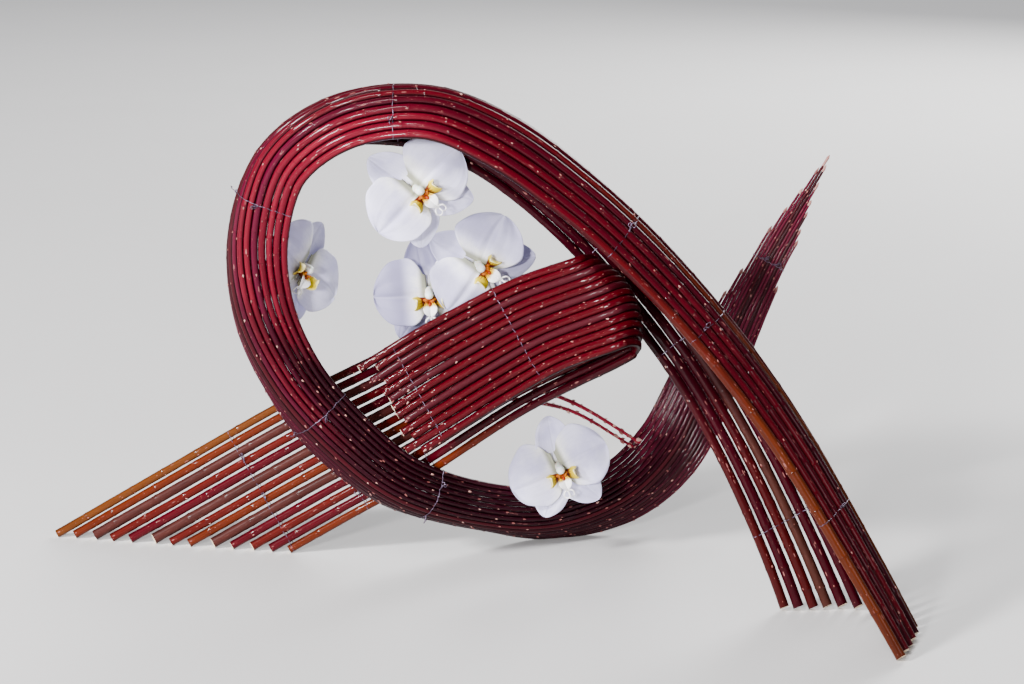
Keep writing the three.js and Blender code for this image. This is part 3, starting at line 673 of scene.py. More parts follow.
def petal_points(shape, angle, fold, random):
    """Grid over one sepal or petal in the bloom's own frame: x right, y up and z forward."""
    u, v = grid(38, 37)
    wave, wave2 = random.uniform(0, 6), random.uniform(0, 6)
    belly = np.sin(math.pi * u)
    reach = belly ** 0.7
    blade = np.sin(math.pi * u ** shape["widest"]) ** shape["full"]
    half = shape["width"] / 2 * np.maximum(shape["root"] * (1 - u) ** 0.7, blade)
    half *= 1 + shape["lean"] * v * belly
    edge = 1 + (0.035 * np.sin(6 * u + wave) + 0.02 * np.sin(14 * u + wave2)) * np.abs(v) ** 3
    along = 2 + shape["length"] * u
    aside = v * half * edge
    z = (shape["lift"] + shape["bow"] * np.sin(0.8 * math.pi * u)
         - shape["cup"] * v * v * belly + shape["tilt"] * u)
    z -= shape["reflex"] * smooth(0.55, 1.05, u) ** 1.5
    z += shape["ruffle"] * u ** 2 * np.abs(v) ** 1.5 * np.sin(4.2 * v + 3 * u + wave)
    z += fold * np.sqrt(v * v + 0.003) * belly ** 0.8
    # the crease beside the middle line, and the swelling beside the crease
    z -= shape["crease"] * np.exp(-((v - 0.08) / 0.09) ** 2) * reach
    z += 0.7 * shape["crease"] * np.exp(-((v + 0.14) / 0.17) ** 2) * reach
    # broad swells, and fine pleats along the petal
    z += 0.9 * np.sin(3.1 * v + 4 * u + wave2) * belly
    z += 0.5 * (1 - np.abs(np.sin(4.3 * v + wave2))) ** 3 * reach
    a = math.radians(angle)
    x = math.cos(a) * along - math.sin(a) * aside
    y = math.sin(a) * along + math.cos(a) * aside
    return np.stack([x, y, z], axis=-1), u, v


SEPAL = {"length": 47, "width": 36, "root": 0.5, "lift": -0.5, "bow": -1.5, "cup": 2.4, "tilt": -3,
         "reflex": 1.5, "ruffle": 0.9, "crease": 0.5, "lean": 0.0, "widest": 0.82, "full": 0.56}
TOP_SEPAL = {**SEPAL, "cup": -2.6, "reflex": -2.5, "tilt": -4}
RIGHT_PETAL = {"length": 47, "width": 62, "root": 0.5, "lift": 2.2, "bow": 2.4, "cup": 3.5,
               "tilt": 3, "reflex": 3.4, "ruffle": 2.6, "crease": 1.5, "lean": 0.06, "widest": 0.84,
               "full": 0.5}
LEFT_PETAL = {**RIGHT_PETAL, "lean": -0.06}
PETAL_FOLDS = [-4.0, 6.5, -2.5, 5.0]  # depth of the fold along a petal, forward or back
# shape, the way it points in degrees, and whether it is folded along its middle
TEPALS = [(TOP_SEPAL, 90, False), (SEPAL, 226, False), (SEPAL, 308, False),
          (RIGHT_PETAL, 2, True), (LEFT_PETAL, 178, True)]
TEPAL, COLUMN = 0, 1
LIP_LOBE, CALLUS, EAR = 0, 1, 2


def placed(bloom):
    """Function that turns points of the bloom's own frame to their place."""
    facing = unit(np.array(bloom["faces"], float))
    level = unit(np.cross([0, 0, 1.0], facing))
    up = np.cross(facing, level)
    turn = math.radians(bloom["turn"])
    spin = np.array([[math.cos(turn), -math.sin(turn), 0], [math.sin(turn), math.cos(turn), 0],
                     [0, 0, 1]])
    basis = np.stack([level, up, facing], axis=1) @ spin * bloom["scale"]
    return lambda p: np.asarray(p, float) @ basis.T + np.array(bloom["at"], float)


def sheet_thickness(u, v):
    """Thickness of a sepal or petal, in millimetres, finer towards its rim."""
    rim = 1 - np.maximum(np.abs(v) ** 6, smooth(0.85, 1.0, u))
    return 0.35 + 0.45 * rim


def add_perianth(form, put, sway, random):
    """Three sepals, two petals and the column."""
    for (shape, angle, folded), stray in zip(TEPALS, sway):
        fold = PETAL_FOLDS[random.integers(len(PETAL_FOLDS))] if folded else 0.0
        points, u, v = petal_points(shape, angle + stray, fold, random)
        add_sheet(form, put(points), sheet_thickness(u, v), TEPAL, u, v)
    add_column(form, put)


def add_column(form, put):
    """The column: a stout arched rod, and a cap that bends down into a beak at its end."""
    line = curve([[0, 0.8, -4], [0, 1.0, 2.5], [0, 0.2, 7.5], [0, -2.0, 12.0]], 6)
    f = np.linspace(0, 1, len(line))
    radii = 4.2 - 1.2 * smooth(0.1, 0.55, f) + 0.7 * smooth(0.6, 0.85, f)
    add_tube(form, put(line), radii, 20, COLUMN, age=0.2)
    cap = curve([[0, -0.8, 11.4], [0, -2.2, 13.4], [0, -4.2, 14.6]], 5)
    add_tube(form, put(cap), [2.5, 2.8, 2.9, 2.8, 2.6, 2.3, 2.0, 1.6, 1.2, 0.8, 0.45], 16, COLUMN,
             age=0.9)


def add_lip(form, put, random):
    """Middle lobe with its two tails, upright side lobes, and the spotted callus between them."""
    u, v = grid(26, 17)
    half = np.interp(u, [0, 0.12, 0.3, 0.5, 0.66, 0.85, 1.0], [2.4, 3.0, 4.6, 6.2, 5.4, 2.4, 1.2])
    rows = [[0, -5, 4.5], [0, -8.6, 9.4], [0, -13.6, 12.4], [0, -18.8, 12.2], [0, -22.6, 9.6]]
    line = np.array([through(rows, 4 * k) for k in u[:, 0]])
    points = np.repeat(line[:, None, :], u.shape[1], axis=1)
    points[..., 0] += v * half
    points[..., 2] += 2.4 * np.abs(v) ** 1.6 * np.sin(math.pi * u) - 1.1 * np.exp(-(v / 0.22) ** 2)
    add_sheet(form, put(points), 0.5 + 0.7 * (1 - v * v), LIP_LOBE, u, v * 0.5)
    for side in (-1, 1):
        add_side_lobe(form, put, side)
        add_tail(form, put, side, random)
        add_tube(form, put([[side * 0.6, -5.6, 4.2], [side * 4.6, -6.4, 6.2]]), [1.9, 1.3], 12,
                 CALLUS, age=0.5)
        horn = curve([[side * 1.3, -7.0, 6.6], [side * 2.3, -8.0, 10.4], [side * 3.2, -6.9, 12.6]], 4)
        add_tube(form, put(horn), np.linspace(2.2, 1.1, len(horn)), 12, CALLUS, age=0.3)
    body = curve([[0, -5.6, 3.6], [0, -8.2, 8.2], [0, -10.6, 11.2]], 5)
    add_tube(form, put(body), np.linspace(3.2, 1.7, len(body)), 14, CALLUS, age=0.0)


def add_side_lobe(form, put, side):
    """One of the two ears that rise beside the column, hollow towards it."""
    u, v = grid(22, 17)
    half = np.interp(u, [0, 0.15, 0.45, 0.75, 1.0], [2.0, 4.0, 6.6, 5.8, 1.4])
    rows = [[side * 2.6, -6.2, 4.2], [side * 8.0, -8.6, 7.6], [side * 11.6, -8.4, 12.4],
            [side * 10.8, -5.4, 17.0]]
    line = np.array([through(rows, 3 * k) for k in u[:, 0]])
    tangent = unit(np.gradient(line, axis=0))
    across = square_to(np.array([side * 0.1, 1.0, 0.25]), tangent)
    inward = np.cross(tangent, across) * side
    points = line[:, None, :] + across[:, None, :] * (v * half)[..., None]
    points = points - inward[:, None, :] * (2.4 * v ** 2 * np.sin(math.pi * u * 0.85))[..., None]
    add_sheet(form, put(points), 0.35 + 0.4 * (1 - v * v), EAR, u, v)


def add_tail(form, put, side, random):
    """Thin curled tail at the tip of the middle lobe."""
    turn = random.uniform(4.8, 5.8)
    points = []
    for k in range(29):
        f = k / 28
        a = turn * f
        r = 4.6 * (1 - 0.45 * f)
        points.append([side * (0.8 + r * math.sin(a) * 0.9 + 1.6 * f), -21.8 - r * (1 - math.cos(a)),
                       9.8 + 3.2 * f + 1.3 * math.sin(2 * a)])
    add_tube(form, put(points), np.linspace(0.75, 0.38, 29), 8, LIP_LOBE, age=1.0)


RIBBONS = {"loop": loop, "fan": fan}


def stalk_line(bloom):
    """Points from the back of the bloom to the side of the cane that carries it."""
    ribbon, cane, station, side, back = bloom["seat"]
    centre, normal, _, radii = RIBBONS[ribbon].section(station)
    put = placed(bloom)
    top, behind = put([[0, 0, -4.2], [0, 0, -back]])
    slant = np.linalg.norm(np.cross(unit(centre[cane] - behind), normal[cane]))
    seat = centre[cane] + normal[cane] * side * (radii[cane] + STALK_TIP / 2 * slant)
    return curve([top, behind, seat], 10)


def add_stalk(form, bloom):
    """Short stalk from the back of a bloom to its cane, thickest behind the bloom."""
    line = stalk_line(bloom)
    radii = np.interp(np.linspace(0, 1, len(line)), [0, 0.15, 1], [2.0, 1.5, 1.2])
    add_tube(form, line, radii, 12, 0, age=0.5)


# ---- sprays ----
def add_spray(form, spray, random):
    """Thin twig with close pairs of buds, and a cluster of them at its tip."""
    centre, normal, _, radii = fan_section(spray["station"])
    cane = spray["cane"]
    slant = np.linalg.norm(np.cross(unit(spray["points"][0] - centre[cane]), normal[cane]))
    root = centre[cane] - normal[cane] * (radii[cane] + SPRAY_BUTT / 2 * slant)
    line = curve([root, *spray["points"]], 16)
    radii = np.linspace(1.3 * SPRAY_BUTT, 1.8 * spray["tip"], len(line)) / 2
    add_tube(form, line, radii, 10, BARK, age=0.5)
    tangents, ups, across = moving_frames(line)
    for k in range(3, len(line), 2):
        a = random.uniform(0, math.pi)
        close = k > len(line) - 7
        for way in (0, math.pi):
            outward = ups[k] * math.cos(a + way) + across[k] * math.sin(a + way)
            length = random.uniform(4.2, 6.0) if close else random.uniform(3.0, 4.8)
            add_bud(form, line[k] + outward * radii[k] * 0.6, tangents[k], outward, length,
                    0.32 * length, random.uniform(0.3, 0.8), BUDS, random.uniform(0.3, 1))


# ---- materials ----
class Graph:
    """One material's nodes, and the colour that is laid up on it coat by coat."""

    def __init__(self, name, colour, **fixed):
        self.material = bpy.data.materials.new(name)
        self.material.use_nodes = True
        self.tree = self.material.node_tree
        self.shader = self.tree.nodes["Principled BSDF"]
        self.colour = colour
        for socket, value in fixed.items():
            self.shader.inputs[socket.replace("_", " ")].default_value = value

    def node(self, kind, settings=None, **inputs):
        made = self.tree.nodes.new("ShaderNode" + kind)
        for key, value in (settings or {}).items():
            setattr(made, key, value)
        for key, value in inputs.items():
            self.put(made.inputs[key.replace("_", " ")], value)
        return made

    def put(self, socket, value):
        if isinstance(value, bpy.types.NodeSocket):
            self.tree.links.new(value, socket)
        else:
            socket.default_value = value

    def stored(self, name, output="Fac"):
        return self.node("Attribute", {"attribute_name": name}).outputs[output]

    def grain(self, scale=(1, 1, 1)):
        """The stored grain, in metres, times a scale on each axis."""
        scaled = self.node("VectorMath", {"operation": "MULTIPLY"})
        self.put(scaled.inputs[0], self.stored("grain", "Vector"))
        self.put(scaled.inputs[1], scale)
        return scaled.outputs[0]

    def maths(self, operation, a, b=0.0, clamp=False):
        made = self.node("Math", {"operation": operation, "use_clamp": clamp})
        self.put(made.inputs[0], a)
        self.put(made.inputs[1], b)
        return made.outputs[0]

    def times(self, a, b, clamp=False):
        return self.maths("MULTIPLY", a, b, clamp)

    def plus(self, a, b):
        return self.maths("ADD", a, b)

    def strayed(self, value, noise, reach):
        """value, strayed by a noise over that reach."""
        return self.plus(value, self.times(self.maths("SUBTRACT", noise, 0.5), reach))

    def between(self, fac, low, high):
        """fac spread so that low becomes 0 and high becomes 1, both clamped."""
        made = self.node("MapRange", {"interpolation_type": "SMOOTHSTEP"})
        for socket, value in (("Value", fac), ("From Min", low), ("From Max", high)):
            self.put(made.inputs[socket], value)
        return made.outputs["Result"]

    def noise(self, scale, detail=3.0, rough=0.55):
        """Noise over the grain, in cycles to a metre, on all axes or on each."""
        scale = scale if isinstance(scale, tuple) else (scale,) * 3
        return self.node("TexNoise", Vector=self.grain(scale), Scale=1.0, Detail=detail,
                         Roughness=rough).outputs["Fac"]

    def spots(self, scale, low, high):
        """Scattered spots over the grain, and a random share for each."""
        cells = self.node("TexVoronoi", {"feature": "F1"}, Vector=self.grain(scale),
                          Scale=1.0).outputs
        return self.between(cells["Distance"], low, high), self.between(cells["Color"], 0.1, 0.9)

    def stripes(self, across, count, sway, reach):
        """Wavering stripes, count radians over each unit across."""
        lines = self.plus(self.times(across, count), self.times(sway, reach))
        return self.maths("SINE", lines)

    def mix(self, fac, a, b):
        made = self.node("Mix", {"data_type": "RGBA"})
        self.put(made.inputs[0], fac)
        for socket, colour in ((made.inputs[6], a), (made.inputs[7], b)):
            self.put(socket, (*colour, 1.0) if isinstance(colour, tuple) else colour)
        return made.outputs[2]

    def lay(self, where, colour, share=1.0):
        """Lays a colour over those before it, where a value is high or lies between two others."""
        fac = self.between(*where) if isinstance(where, tuple) else where
        self.colour = self.mix(self.times(fac, share), self.colour, colour)

    def done(self, relief=None, depth=0.0001, strength=1.0):
        """The finished material, with its colour and a relief of that depth in metres."""
        self.put(self.shader.inputs["Base Color"], self.colour)
        if relief:
            made = self.node("Bump", Height=relief, Distance=depth, Strength=strength)
            self.put(self.shader.inputs["Normal"], made.outputs["Normal"])
        return self.material


CRIMSON, SCARLET = (0.035, 0.0002, 0.0036), (0.053, 0.0005, 0.0036)
# SHADE_WINE is painted shade: the darker wine laid far along the loop's canes, over its bottom and
# back, which lie in shade
SHADE_WINE, DEEP_WINE = (0.014, 0.0002, 0.003), (0.022, 0.0003, 0.003)
MAROON = (0.007, 0.0001, 0.0015)
ORANGE, AMBER = (0.078, 0.010, 0.0015), (0.070, 0.0125, 0.003)
OCHRE, RUST = (0.086, 0.0225, 0.003), (0.066, 0.0036, 0.002)
# PAINTED_LIGHT_ROSE and PAINTED_SHEEN_MAUVE are painted light: a lighter, pinker sheen laid where the
# loop's left side catches the light
PAINTED_LIGHT_ROSE, PAINTED_SHEEN_MAUVE = (0.17, 0.004, 0.018), (0.085, 0.0025, 0.019)
FRONT_RED, TIP_ROSE = (0.048, 0.0001, 0.0026), (0.10, 0.006, 0.022)
# SHADED_LEG_RED, SHADED_LEG_RUST and SHADED_LEG_TAN are painted shade: butt colours darkened for the
# back group of the loop's leg, which lies in shade
SHADED_LEG_RED, SHADED_LEG_RUST = (0.024, 0.0002, 0.0026), (0.034, 0.0018, 0.002)
SHADED_LEG_TAN, DARK_TAN = (0.036, 0.009, 0.006), (0.016, 0.003, 0.002)
DUSTY_BROWN, DARK_BROWN = (0.042, 0.008, 0.006), (0.014, 0.002, 0.002)
WAXY_DUST, PORE_TAN, FLECK_PINK = (0.13, 0.014, 0.026), (0.42, 0.17, 0.14), (0.34, 0.13, 0.12)
# PAINTED_SEAM_SHADE is painted shade, near black, for the sides that canes turn to their neighbours
PAINTED_SEAM_SHADE, SCAR_DARK = (0.003, 0.0001, 0.0006), (0.02, 0.002, 0.003)
FLAKE_TAN = (0.13, 0.048, 0.038)
EARLY_TURN = (0.05, 0.4)  # where a butt's colour goes over to the next one


def lay_painted_seam_shade(g, age, share):
    """Paints shade on the two sides that a cane turns to its neighbours, where the gaps between canes
    lie in shade, less so near its foot.
    """
    across = g.node("SeparateXYZ", Vector=g.grain()).outputs
    face = g.plus(g.maths("ABSOLUTE", across["X"]), 0.00005)
    flank = g.between(g.maths("DIVIDE", g.maths("ABSOLUTE", across["Y"]), face), 0.55, 2.5)
    painted_seam_mask = g.times(flank, g.plus(0.35, g.between(age, 0.2, 0.5)), clamp=True)
    g.lay(painted_seam_mask, PAINTED_SEAM_SHADE, share)


def bark(name, butt, upper, far_or_shade, turn=EARLY_TURN, dust=0.2, shift=0.0, sheen_share=0.0, painted_sheen=PAINTED_LIGHT_ROSE,
         tip=TIP_ROSE, seam_shade_depth=0.85):
    """Smooth cane bark: colours from butt to tip, with darker streaks, pores, a waxy dust, a painted
    sheen, painted shade far along the loop's canes and painted shade at its seams.

    turn: shares of the length where the butt's colour goes over to the next; shift: sets its
    pattern apart; far_or_shade: the colour far along the cane, painted shade on the loop's canes;
    sheen_share: share of the painted sheen beyond the middle; seam_shade_depth: how dark the
    painted shade at its seams is.
    """
    g = Graph(name, butt, Coat_Weight=0.25, Coat_Roughness=0.1, Coat_IOR=1.45, Specular_IOR_Level=0.02)
    patches = g.noise((90 + shift, 90, 9), 2)
    streaks = g.noise((800, 800, 10 + shift), 4)
    fine = g.noise((1500, 1500, 260))
    haze = g.noise((420, 420, 34 + shift), 5, 0.75)
    age = g.strayed(g.stored("age"), patches, 0.16)
    g.lay((age, *turn), upper)
    # painted sheen: a lighter, pinker band on the loop's left side, where its canes catch the light
    g.lay((age, 0.37, 0.46), painted_sheen, sheen_share)
    # far along the cane: on the loop's canes a darker wine painted as shade over the loop's bottom and
    # back; on the fan's canes their own red
    g.lay((age, 0.54, 0.68), far_or_shade)
    g.lay((age, 0.78, 0.93), g.mix(0.7, far_or_shade, tip))
    deep = g.mix(0.55, g.colour, MAROON)
    g.lay((patches, 0.5, 0.68), deep, 0.6)
    g.lay((streaks, 0.5, 0.7), deep, 0.6)
    g.lay((haze, 0.56, 0.74), WAXY_DUST, dust)
    pore = g.times(g.spots((560, 560, 150), 0.17, 0.09)[0], g.between(fine, 0.52, 0.57))
    g.lay(pore, PORE_TAN, 0.6)
    fleck, kept = g.spots((300, 300, 75 + shift), 0.24, 0.16)
    fleck = g.times(g.times(fleck, g.between(haze, 0.49, 0.56)), kept)
    fewer_ahead = g.maths("SUBTRACT", 1.0, g.times(g.between(age, 0.5, 0.62), 0.7))
    g.lay(g.times(fleck, fewer_ahead), FLECK_PINK, 0.75)
    # painted shade on the two sides that the cane turns to its neighbours
    lay_painted_seam_shade(g, age, seam_shade_depth)
    g.lay(g.times(g.between(g.stored("mark"), 0.3, 0.95), fine), SCAR_DARK, 0.7)
    rough = g.plus(0.26, g.times(haze, 0.25))
    g.put(g.shader.inputs["Roughness"], g.plus(rough, g.times(pore, 0.3)))
    relief = g.plus(g.times(streaks, 0.8), g.times(pore, 0.8))
    return g.done(g.plus(relief, g.times(fine, 0.25)), 0.00012, 0.6)


def rough_bark(name, butt, upper, deep, shift=0.0, turn=(0.22, 0.5)):
    """Older bark, dull, flaked and dusty, redder further up the cane."""
    g = Graph(name, butt, Coat_Weight=0.12, Coat_Roughness=0.2, Specular_IOR_Level=0.08)
    flakes = g.noise((420, 420, 120 + shift), 6, 0.7)
    patches = g.noise((120, 120, 22 + shift))
    streaks = g.noise((900, 900, 40), 4)
    age = g.strayed(g.stored("age"), patches, 0.2)
    g.lay((age, *turn), upper)
    g.lay(g.times(g.between(patches, 0.45, 0.7), g.between(age, 0.6, 0.4)), deep, 0.6)
    g.lay(g.times(g.between(flakes, 0.55, 0.75), g.between(age, turn[1], turn[0])), FLAKE_TAN, 0.55)
    g.lay((streaks, 0.52, 0.75), deep, 0.4)
    # painted shade on the two sides that the cane turns to its neighbours
    lay_painted_seam_shade(g, age, 0.85)
    g.put(g.shader.inputs["Roughness"], g.plus(0.45, g.times(flakes, 0.3)))
    return g.done(g.plus(g.times(flakes, 0.8), g.times(streaks, 0.4)), 0.0003)


def cut_wood():
    """Pale end grain, darker at the bark and at the pith, with fine rings."""
    g = Graph("cut_end_wood", (0.42, 0.27, 0.14), Roughness=0.75)
    fibres, share = g.noise(2200), g.stored("age")
    g.lay((share, 0.18, 0.3), (0.80, 0.69, 0.50))
    g.lay((share, 0.9, 1.0), (0.40, 0.16, 0.09))
    g.lay((g.maths("SINE", g.times(share, 38.0)), 0.2, 1.0), (0.62, 0.48, 0.3), 0.25)
    g.lay(fibres, (0.5, 0.38, 0.25), 0.3)
    return g.done(fibres)


def bud_scale():
    """Bud scales, from dark rose at the foot to dusty rose at the tip, some pale and some dark."""
    g = Graph("bud_scales", (0.10, 0.006, 0.008), Roughness=0.5)
    fine, shade = g.noise(900), g.stored("mark")
    g.lay((g.stored("age"), 0.2, 0.9), (0.30, 0.11, 0.09))
    g.lay((shade, 0.74, 0.9), (0.45, 0.24, 0.20))
    g.lay((shade, 0.22, 0.1), (0.08, 0.01, 0.01))
    g.lay(fine, (0.22, 0.06, 0.05), 0.4)
    return g.done(fine)


def wire_metal():
    """Dull, bluish tarnished wire."""
    g = Graph("tie_wire_metal", (0.16, 0.12, 0.18), Metallic=0.85)
    tarnish = g.noise(400)
    g.lay((tarnish, 0.4, 0.65), (0.05, 0.03, 0.055))
    g.put(g.shader.inputs["Roughness"], g.plus(0.25, g.times(tarnish, 0.3)))
    return g.done()


def petal_tissue(name, painted_shade):
    """White petal: cream at the heart, olive at its root (partly its own green, partly painted shade),
    lavender outward, with painted grey shade in clouds, over its outer part and along its crease, and
    faint veins that fan from the root.
    """
    g = Graph(name, (0.94, 0.94, 0.91), Roughness=0.5, Subsurface_Weight=0.12,
              Subsurface_Scale=0.0015, Sheen_Weight=0.1, Sheen_Roughness=0.4,
              Specular_IOR_Level=0.35)
    g.shader.inputs["Subsurface Radius"].default_value = (0.9, 0.9, 1.0)
    u, v = g.stored("age"), g.stored("mark")
    vein = g.between(g.stripes(v, 46.0, g.noise(90, 2), 7.0), 0.55, 1.0)
    vein = g.times(vein, g.between(u, 0.98, 0.55))
    # painted shade: a darker line along the crease beside the petal's middle, where the fold lies in
    # shade
    painted_crease_shade = g.between(g.maths("ABSOLUTE", g.maths("SUBTRACT", v, 0.08)), 0.06, 0.0)
    g.lay((u, 0.05, 0.42), (0.73, 0.72, 0.95))
    # painted shade: lavender-grey clouds laid over the petal at random, standing in for its soft
    # shading
    g.lay((g.noise(45), 0.42, 0.66), (0.50, 0.48, 0.76), 0.6)
    g.lay(vein, (0.42, 0.40, 0.62), 0.10)
    # painted shade: a grey laid over the outer part of the petal, more on blooms that lie in shade
    g.lay((u, 0.2, 0.5), (0.20, 0.19, 0.32), painted_shade)
    g.lay(painted_crease_shade, (0.42, 0.41, 0.55), 0.3)
    # olive-green at the root: partly the petal's own green and partly painted shade of the hollow
    # behind the lip
    g.lay((u, 0.17, 0.06), (0.14, 0.15, 0.05), 0.8)
    return g.done(g.plus(g.times(vein, 0.3), g.times(g.noise(1600, 2), 0.35)), 0.00014, 0.6)


def column_tissue():
    """Waxy white column, a little creamier at its foot."""
    g = Graph("column_tissue", (0.92, 0.91, 0.84), Roughness=0.4, Subsurface_Weight=0.25,
              Subsurface_Scale=0.002)
    fine = g.noise(700, 2)
    g.lay((g.stored("age"), 0.4, 0.8), (0.95, 0.94, 0.90))
    g.lay(fine, (0.8, 0.78, 0.72), 0.15)
    return g.done(fine, strength=0.5)


def lobe_tissue(name, root, reach, stripes):
    """A lobe of the lip: its graph, strayed length from the root, sway and stripes."""
    g = Graph(name, root, Roughness=0.5, Specular_IOR_Level=0.15)
    sway = g.noise(260)
    away = g.strayed(g.stored("age"), sway, reach)
    return g, away, sway, g.between(g.stripes(g.stored("mark"), stripes, sway, 5.0), 0.2, 0.7)


def lip_tissue():
    """Middle lobe: yellow at the root with red-brown stripes, white further out."""
    g, away, sway, stripe = lobe_tissue("lip_tissue", (0.36, 0.05, 0.001), 0.3, 30.0)
    g.lay((away, 0.14, 0.34), (0.64, 0.42, 0.001))
    g.lay((away, 0.36, 0.52), (0.95, 0.94, 0.95))
    g.lay(g.times(stripe, g.between(g.stored("age"), 0.5, 0.3)), (0.22, 0.015, 0.006), 0.8)
    return g.done(sway, 0.0002, 0.5)


def ear_tissue():
    """Side lobes: dark red-brown at the root, yellow with red stripes, and pale at the rim."""
    g, away, sway, stripe = lobe_tissue("lip_ear_tissue", (0.62, 0.47, 0.001), 0.25, 15.0)
    edge = g.between(g.maths("ABSOLUTE", g.stored("mark")), 0.72, 0.95)
    g.lay((away, 0.70, 0.98), (0.88, 0.84, 0.50))
    g.lay(g.times(edge, g.between(g.stored("age"), 0.3, 0.5)), (0.84, 0.74, 0.22), 0.7)
    g.lay(g.times(stripe, g.between(away, 0.46, 0.3)), (0.34, 0.04, 0.006), 0.8)
    g.lay((away, 0.34, 0.2), (0.10, 0.012, 0.004))
    return g.done(sway, 0.0002, 0.5)


def callus_tissue():
    """Waxy callus, orange-red at its root and yellow at its tips, blotched with red-brown."""
    g = Graph("callus_tissue", (0.24, 0.026, 0.0005), Roughness=0.4, Coat_Weight=0.1,
              Specular_IOR_Level=0.15)
    blotch = g.noise(520, 2)
    g.lay((g.stored("age"), 0.0, 0.4), (0.40, 0.115, 0.0005))
    g.lay((blotch, 0.52, 0.6), (0.16, 0.012, 0.005), 0.8)
    return g.done(blotch, 0.0002, 0.5)


def stalk_tissue():
    """Green stalk, blotched with brown."""
    g = Graph("stalk_tissue", (0.55, 0.62, 0.30), Roughness=0.45, Subsurface_Weight=0.1,
              Subsurface_Scale=0.001)
    fine = g.noise(300)
    g.lay((g.stored("age"), 0.1, 0.7), (0.24, 0.30, 0.10))
    g.lay((fine, 0.5, 0.75), (0.34, 0.16, 0.12), 0.5)
    return g.done(fine, strength=0.6)


def fan_bark(name, butt, upper, turn, dust, shift):
    """Bark that is bright red up to its cut tip."""
    return bark(name, butt, upper, FRONT_RED, turn, dust, shift, tip=FRONT_RED)


# the slot that each bark is listed with, its maker, and what the maker is given
BARK_ROWS = {
    "crimson": ("bark_crimson", bark, SCARLET, CRIMSON, SHADE_WINE, EARLY_TURN, 0.2, 0, 0.5),
    "ruby": ("bark_crimson", bark, CRIMSON, SCARLET, SHADE_WINE, EARLY_TURN, 0.2, 7, 0.7),
    "wine": ("bark_wine", bark, DEEP_WINE, CRIMSON, SHADE_WINE, EARLY_TURN, 0.25, 3, 0.6, PAINTED_SHEEN_MAUVE),
    "orange": ("bark_orange", bark, AMBER, SCARLET, SHADE_WINE, (0.12, 0.34), 0.2, 5, 0.5),
    # leg barks: butts darkened as painted shade for the back group of the leg
    "leg_red": ("bark_wine", bark, SHADED_LEG_RED, DEEP_WINE, SHADE_WINE, (0.03, 0.16), 0.2, 1, 0.5, PAINTED_SHEEN_MAUVE),
    "leg_rust": ("bark_wine", bark, SHADED_LEG_RUST, DEEP_WINE, SHADE_WINE, (0.04, 0.17), 0.2, 6, 0.5, PAINTED_SHEEN_MAUVE),
    "leg_tan": ("bark_wine", rough_bark, SHADED_LEG_TAN, DEEP_WINE, DARK_TAN, 4, (0.05, 0.2)),
    "dusty": ("bark_tan", rough_bark, DUSTY_BROWN, CRIMSON, DARK_BROWN),
    "ochre_fan": ("bark_tan", fan_bark, OCHRE, CRIMSON, (0.30, 0.42), 0.08, 9),
    "orange_fan": ("bark_orange", fan_bark, ORANGE, CRIMSON, (0.26, 0.42), 0.08, 6),
    "rust_fan": ("bark_orange", fan_bark, RUST, SCARLET, (0.26, 0.42), 0.1, 2),
    "crimson_fan": ("bark_crimson", fan_bark, SCARLET, CRIMSON, EARLY_TURN, 0.08, 8),
}
BARKS = {key: (maker(f"{key}_bark", *given), slot)
         for key, (slot, maker, *given) in BARK_ROWS.items()}
# the last seven canes take the leg barks, whose butts are darkened as painted shade for the leg's back
# group
LOOP_BARKS = ["orange", "crimson", "ruby", "crimson", "wine", "orange", "crimson", "wine", "dusty",
              "leg_tan", "leg_red", "leg_red", "leg_tan", "leg_rust", "leg_red", "leg_rust"]
FAN_BARKS = ["ochre_fan", "orange_fan", "dusty", "rust_fan", "crimson_fan", "dusty", "rust_fan",
             "orange_fan", "dusty", "crimson_fan", "rust_fan", "crimson_fan", "orange_fan"]
# the twig's upper and far colours are the lighter rose, painted light for a twig that lies in shade;
# it has no painted seam shade
TWIG_BARK = bark("twig_bark", CRIMSON, PAINTED_LIGHT_ROSE, PAINTED_LIGHT_ROSE, seam_shade_depth=0.0)
CUT_WOOD, BUD_SCALE, WIRE_METAL = cut_wood(), bud_scale(), wire_metal()
PETAL_PAINTED_SHADES = [0.0, 0.1, 0.55, 0.95, 0.0]  # how much painted shade greys the outer part of each bloom's petals
PETALS = [petal_tissue(f"petal_tissue_{k + 1}", painted_shade) for k, painted_shade in enumerate(PETAL_PAINTED_SHADES)]
COLUMN_SKIN, STALK = column_tissue(), stalk_tissue()
LIP, CALLUS_SKIN, EAR_SKIN = lip_tissue(), callus_tissue(), ear_tissue()


# ---- pieces ----
def dress(name, materials, node, slot, add, *given):
    """Makes one piece by calling add with the given values, in place of its solid."""
    form = Form()
    add(form, *given)
    form.piece(name, materials, node)


def dress_canes(ribbon, barks, tip, seed):
    for i, (run, key) in enumerate(zip(ribbon.runs, barks)):
        material, slot = BARKS[key]
        dress(f"{ribbon.name}_bark_{i + 1:02d}", [material, CUT_WOOD, BUD_SCALE],
              f"{ribbon.name}_cane_{i + 1:02d}", slot, add_cane, run, default_rng(seed + i), tip)


def dress_ties(ribbon, stations, seed):
    for i, t in enumerate(stations):
        dress(f"{ribbon.name}_wire_{i + 1}", [WIRE_METAL], f"{ribbon.name}_tie_{i + 1}", "wire",
              add_tie, ribbon, t, default_rng(seed + i))


dress_canes(loop, LOOP_BARKS, "bud", 100)
dress_canes(fan, FAN_BARKS, "cut", 200)
dress_ties(loop, LOOP_TIES, 300)
dress_ties(fan, FAN_TIES, 320)

for i, spray in enumerate(SPRAYS):
    dress(f"spray_{i + 1}", [TWIG_BARK, CUT_WOOD, BUD_SCALE], f"spray_twig_{i + 1}", "bark_wine",
          add_spray, spray, default_rng(340 + i))

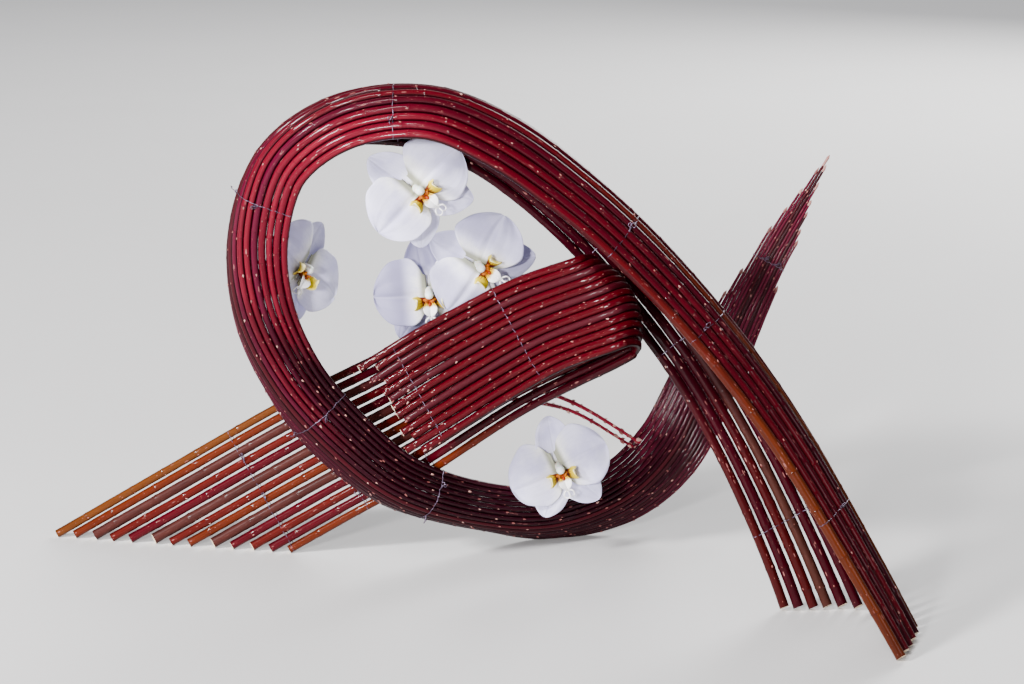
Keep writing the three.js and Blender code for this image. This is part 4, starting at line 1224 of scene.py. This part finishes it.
for i, bloom in enumerate(BLOOMS):
    put = placed(bloom)
    dress(f"bloom_{i + 1}_tepals", [PETALS[i], COLUMN_SKIN], f"orchid_{i + 1}_petals",
          "petal_white", add_perianth, put, bloom["sway"], default_rng(400 + i))
    dress(f"bloom_{i + 1}_lip", [LIP, CALLUS_SKIN, EAR_SKIN], f"orchid_{i + 1}_lip",
          "lip_yellow", add_lip, put, default_rng(420 + i))
    dress(f"bloom_{i + 1}_stalk", [STALK], f"orchid_{i + 1}_stalk", "stalk_green",
          add_stalk, bloom)


# ---- camera, floor and light ----
LENS = 76.25  # millimetres, on a sensor 36 mm wide
CAMERA_PITCH = math.radians(15)
CAMERA_PLACE = tuple((np.array([0.0, -1738.67, 715.87]) - CENTRE) * MM)
FLOOR_HALF = 12.0
AIM = (0, 0, 0.2)
# place and size in metres, power in watts, colour, and the point it is aimed at
LIGHTS = {
    "key": ((-2.8, -1.8, 2.0), (0.5, 0.5), 350, (1.0, 0.98, 0.98), AIM),
    "front": ((-1.4, -3.3, 1.2), (0.4, 0.4), 190, (1.0, 0.98, 0.98), AIM),
    "strip": ((-0.95, -2.1, 2.6), (0.14, 1.4), 60, (1.0, 0.97, 0.98), AIM),
    "rear": ((1.8, 3.3, 1.9), (1.6, 1.6), 190, (1.0, 0.99, 0.98), AIM),
    "fill": ((2.4, -2.4, 1.4), (1.4, 1.0), 24, (0.93, 0.95, 1.0), AIM),
    "back": ((0.0, 4.2, 3.6), (7.0, 4.0), 210, (0.97, 0.97, 1.0), (0.0, 4.6, 0.0)),
}


def look_from(obj, place, target):
    obj.location = place
    obj.rotation_mode = "QUATERNION"
    obj.rotation_quaternion = (Vector(target) - Vector(place)).to_track_quat("-Z", "Y")


camera = added("camera", bpy.data.cameras.new("camera"))
camera.data.sensor_width = 36
camera.data.lens = LENS
camera.data.clip_start, camera.data.clip_end = 0.05, 60
look_from(camera, CAMERA_PLACE, (CAMERA_PLACE[0], CAMERA_PLACE[1] + math.cos(CAMERA_PITCH),
                                 CAMERA_PLACE[2] - math.sin(CAMERA_PITCH)))
bpy.context.scene.camera = camera

floor_mesh = bpy.data.meshes.new("floor")
floor_mesh.from_pydata([(x * FLOOR_HALF, y * FLOOR_HALF, 0)
                        for x, y in ((-1, -1), (1, -1), (1, 1), (-1, 1))], [], [(0, 1, 2, 3)])
floor_paint = Graph("floor_paint", (0.54, 0.537, 0.535), Roughness=0.7)
floor_place = floor_paint.node("TexCoord").outputs["Object"]
floor_grain = floor_paint.node("TexNoise", Vector=floor_place, Scale=3.0, Detail=3.0, Roughness=0.55)
floor_paint.lay(floor_grain.outputs["Fac"], (0.57, 0.567, 0.565))
floor_mesh.materials.append(floor_paint.done())
added("floor", floor_mesh)

for name, (place, size, watts, colour, target) in LIGHTS.items():
    lamp = bpy.data.lights.new(name, "AREA")
    lamp.shape = "RECTANGLE"
    lamp.size, lamp.size_y = size
    lamp.energy = watts
    lamp.color = colour
    look_from(added(name, lamp), place, target)
world = bpy.data.worlds.new("studio")
world.use_nodes = True
background = world.node_tree.nodes["Background"].inputs
background["Color"].default_value = (0.9, 0.92, 0.95, 1)
background["Strength"].default_value = 0.19
bpy.context.scene.world = world
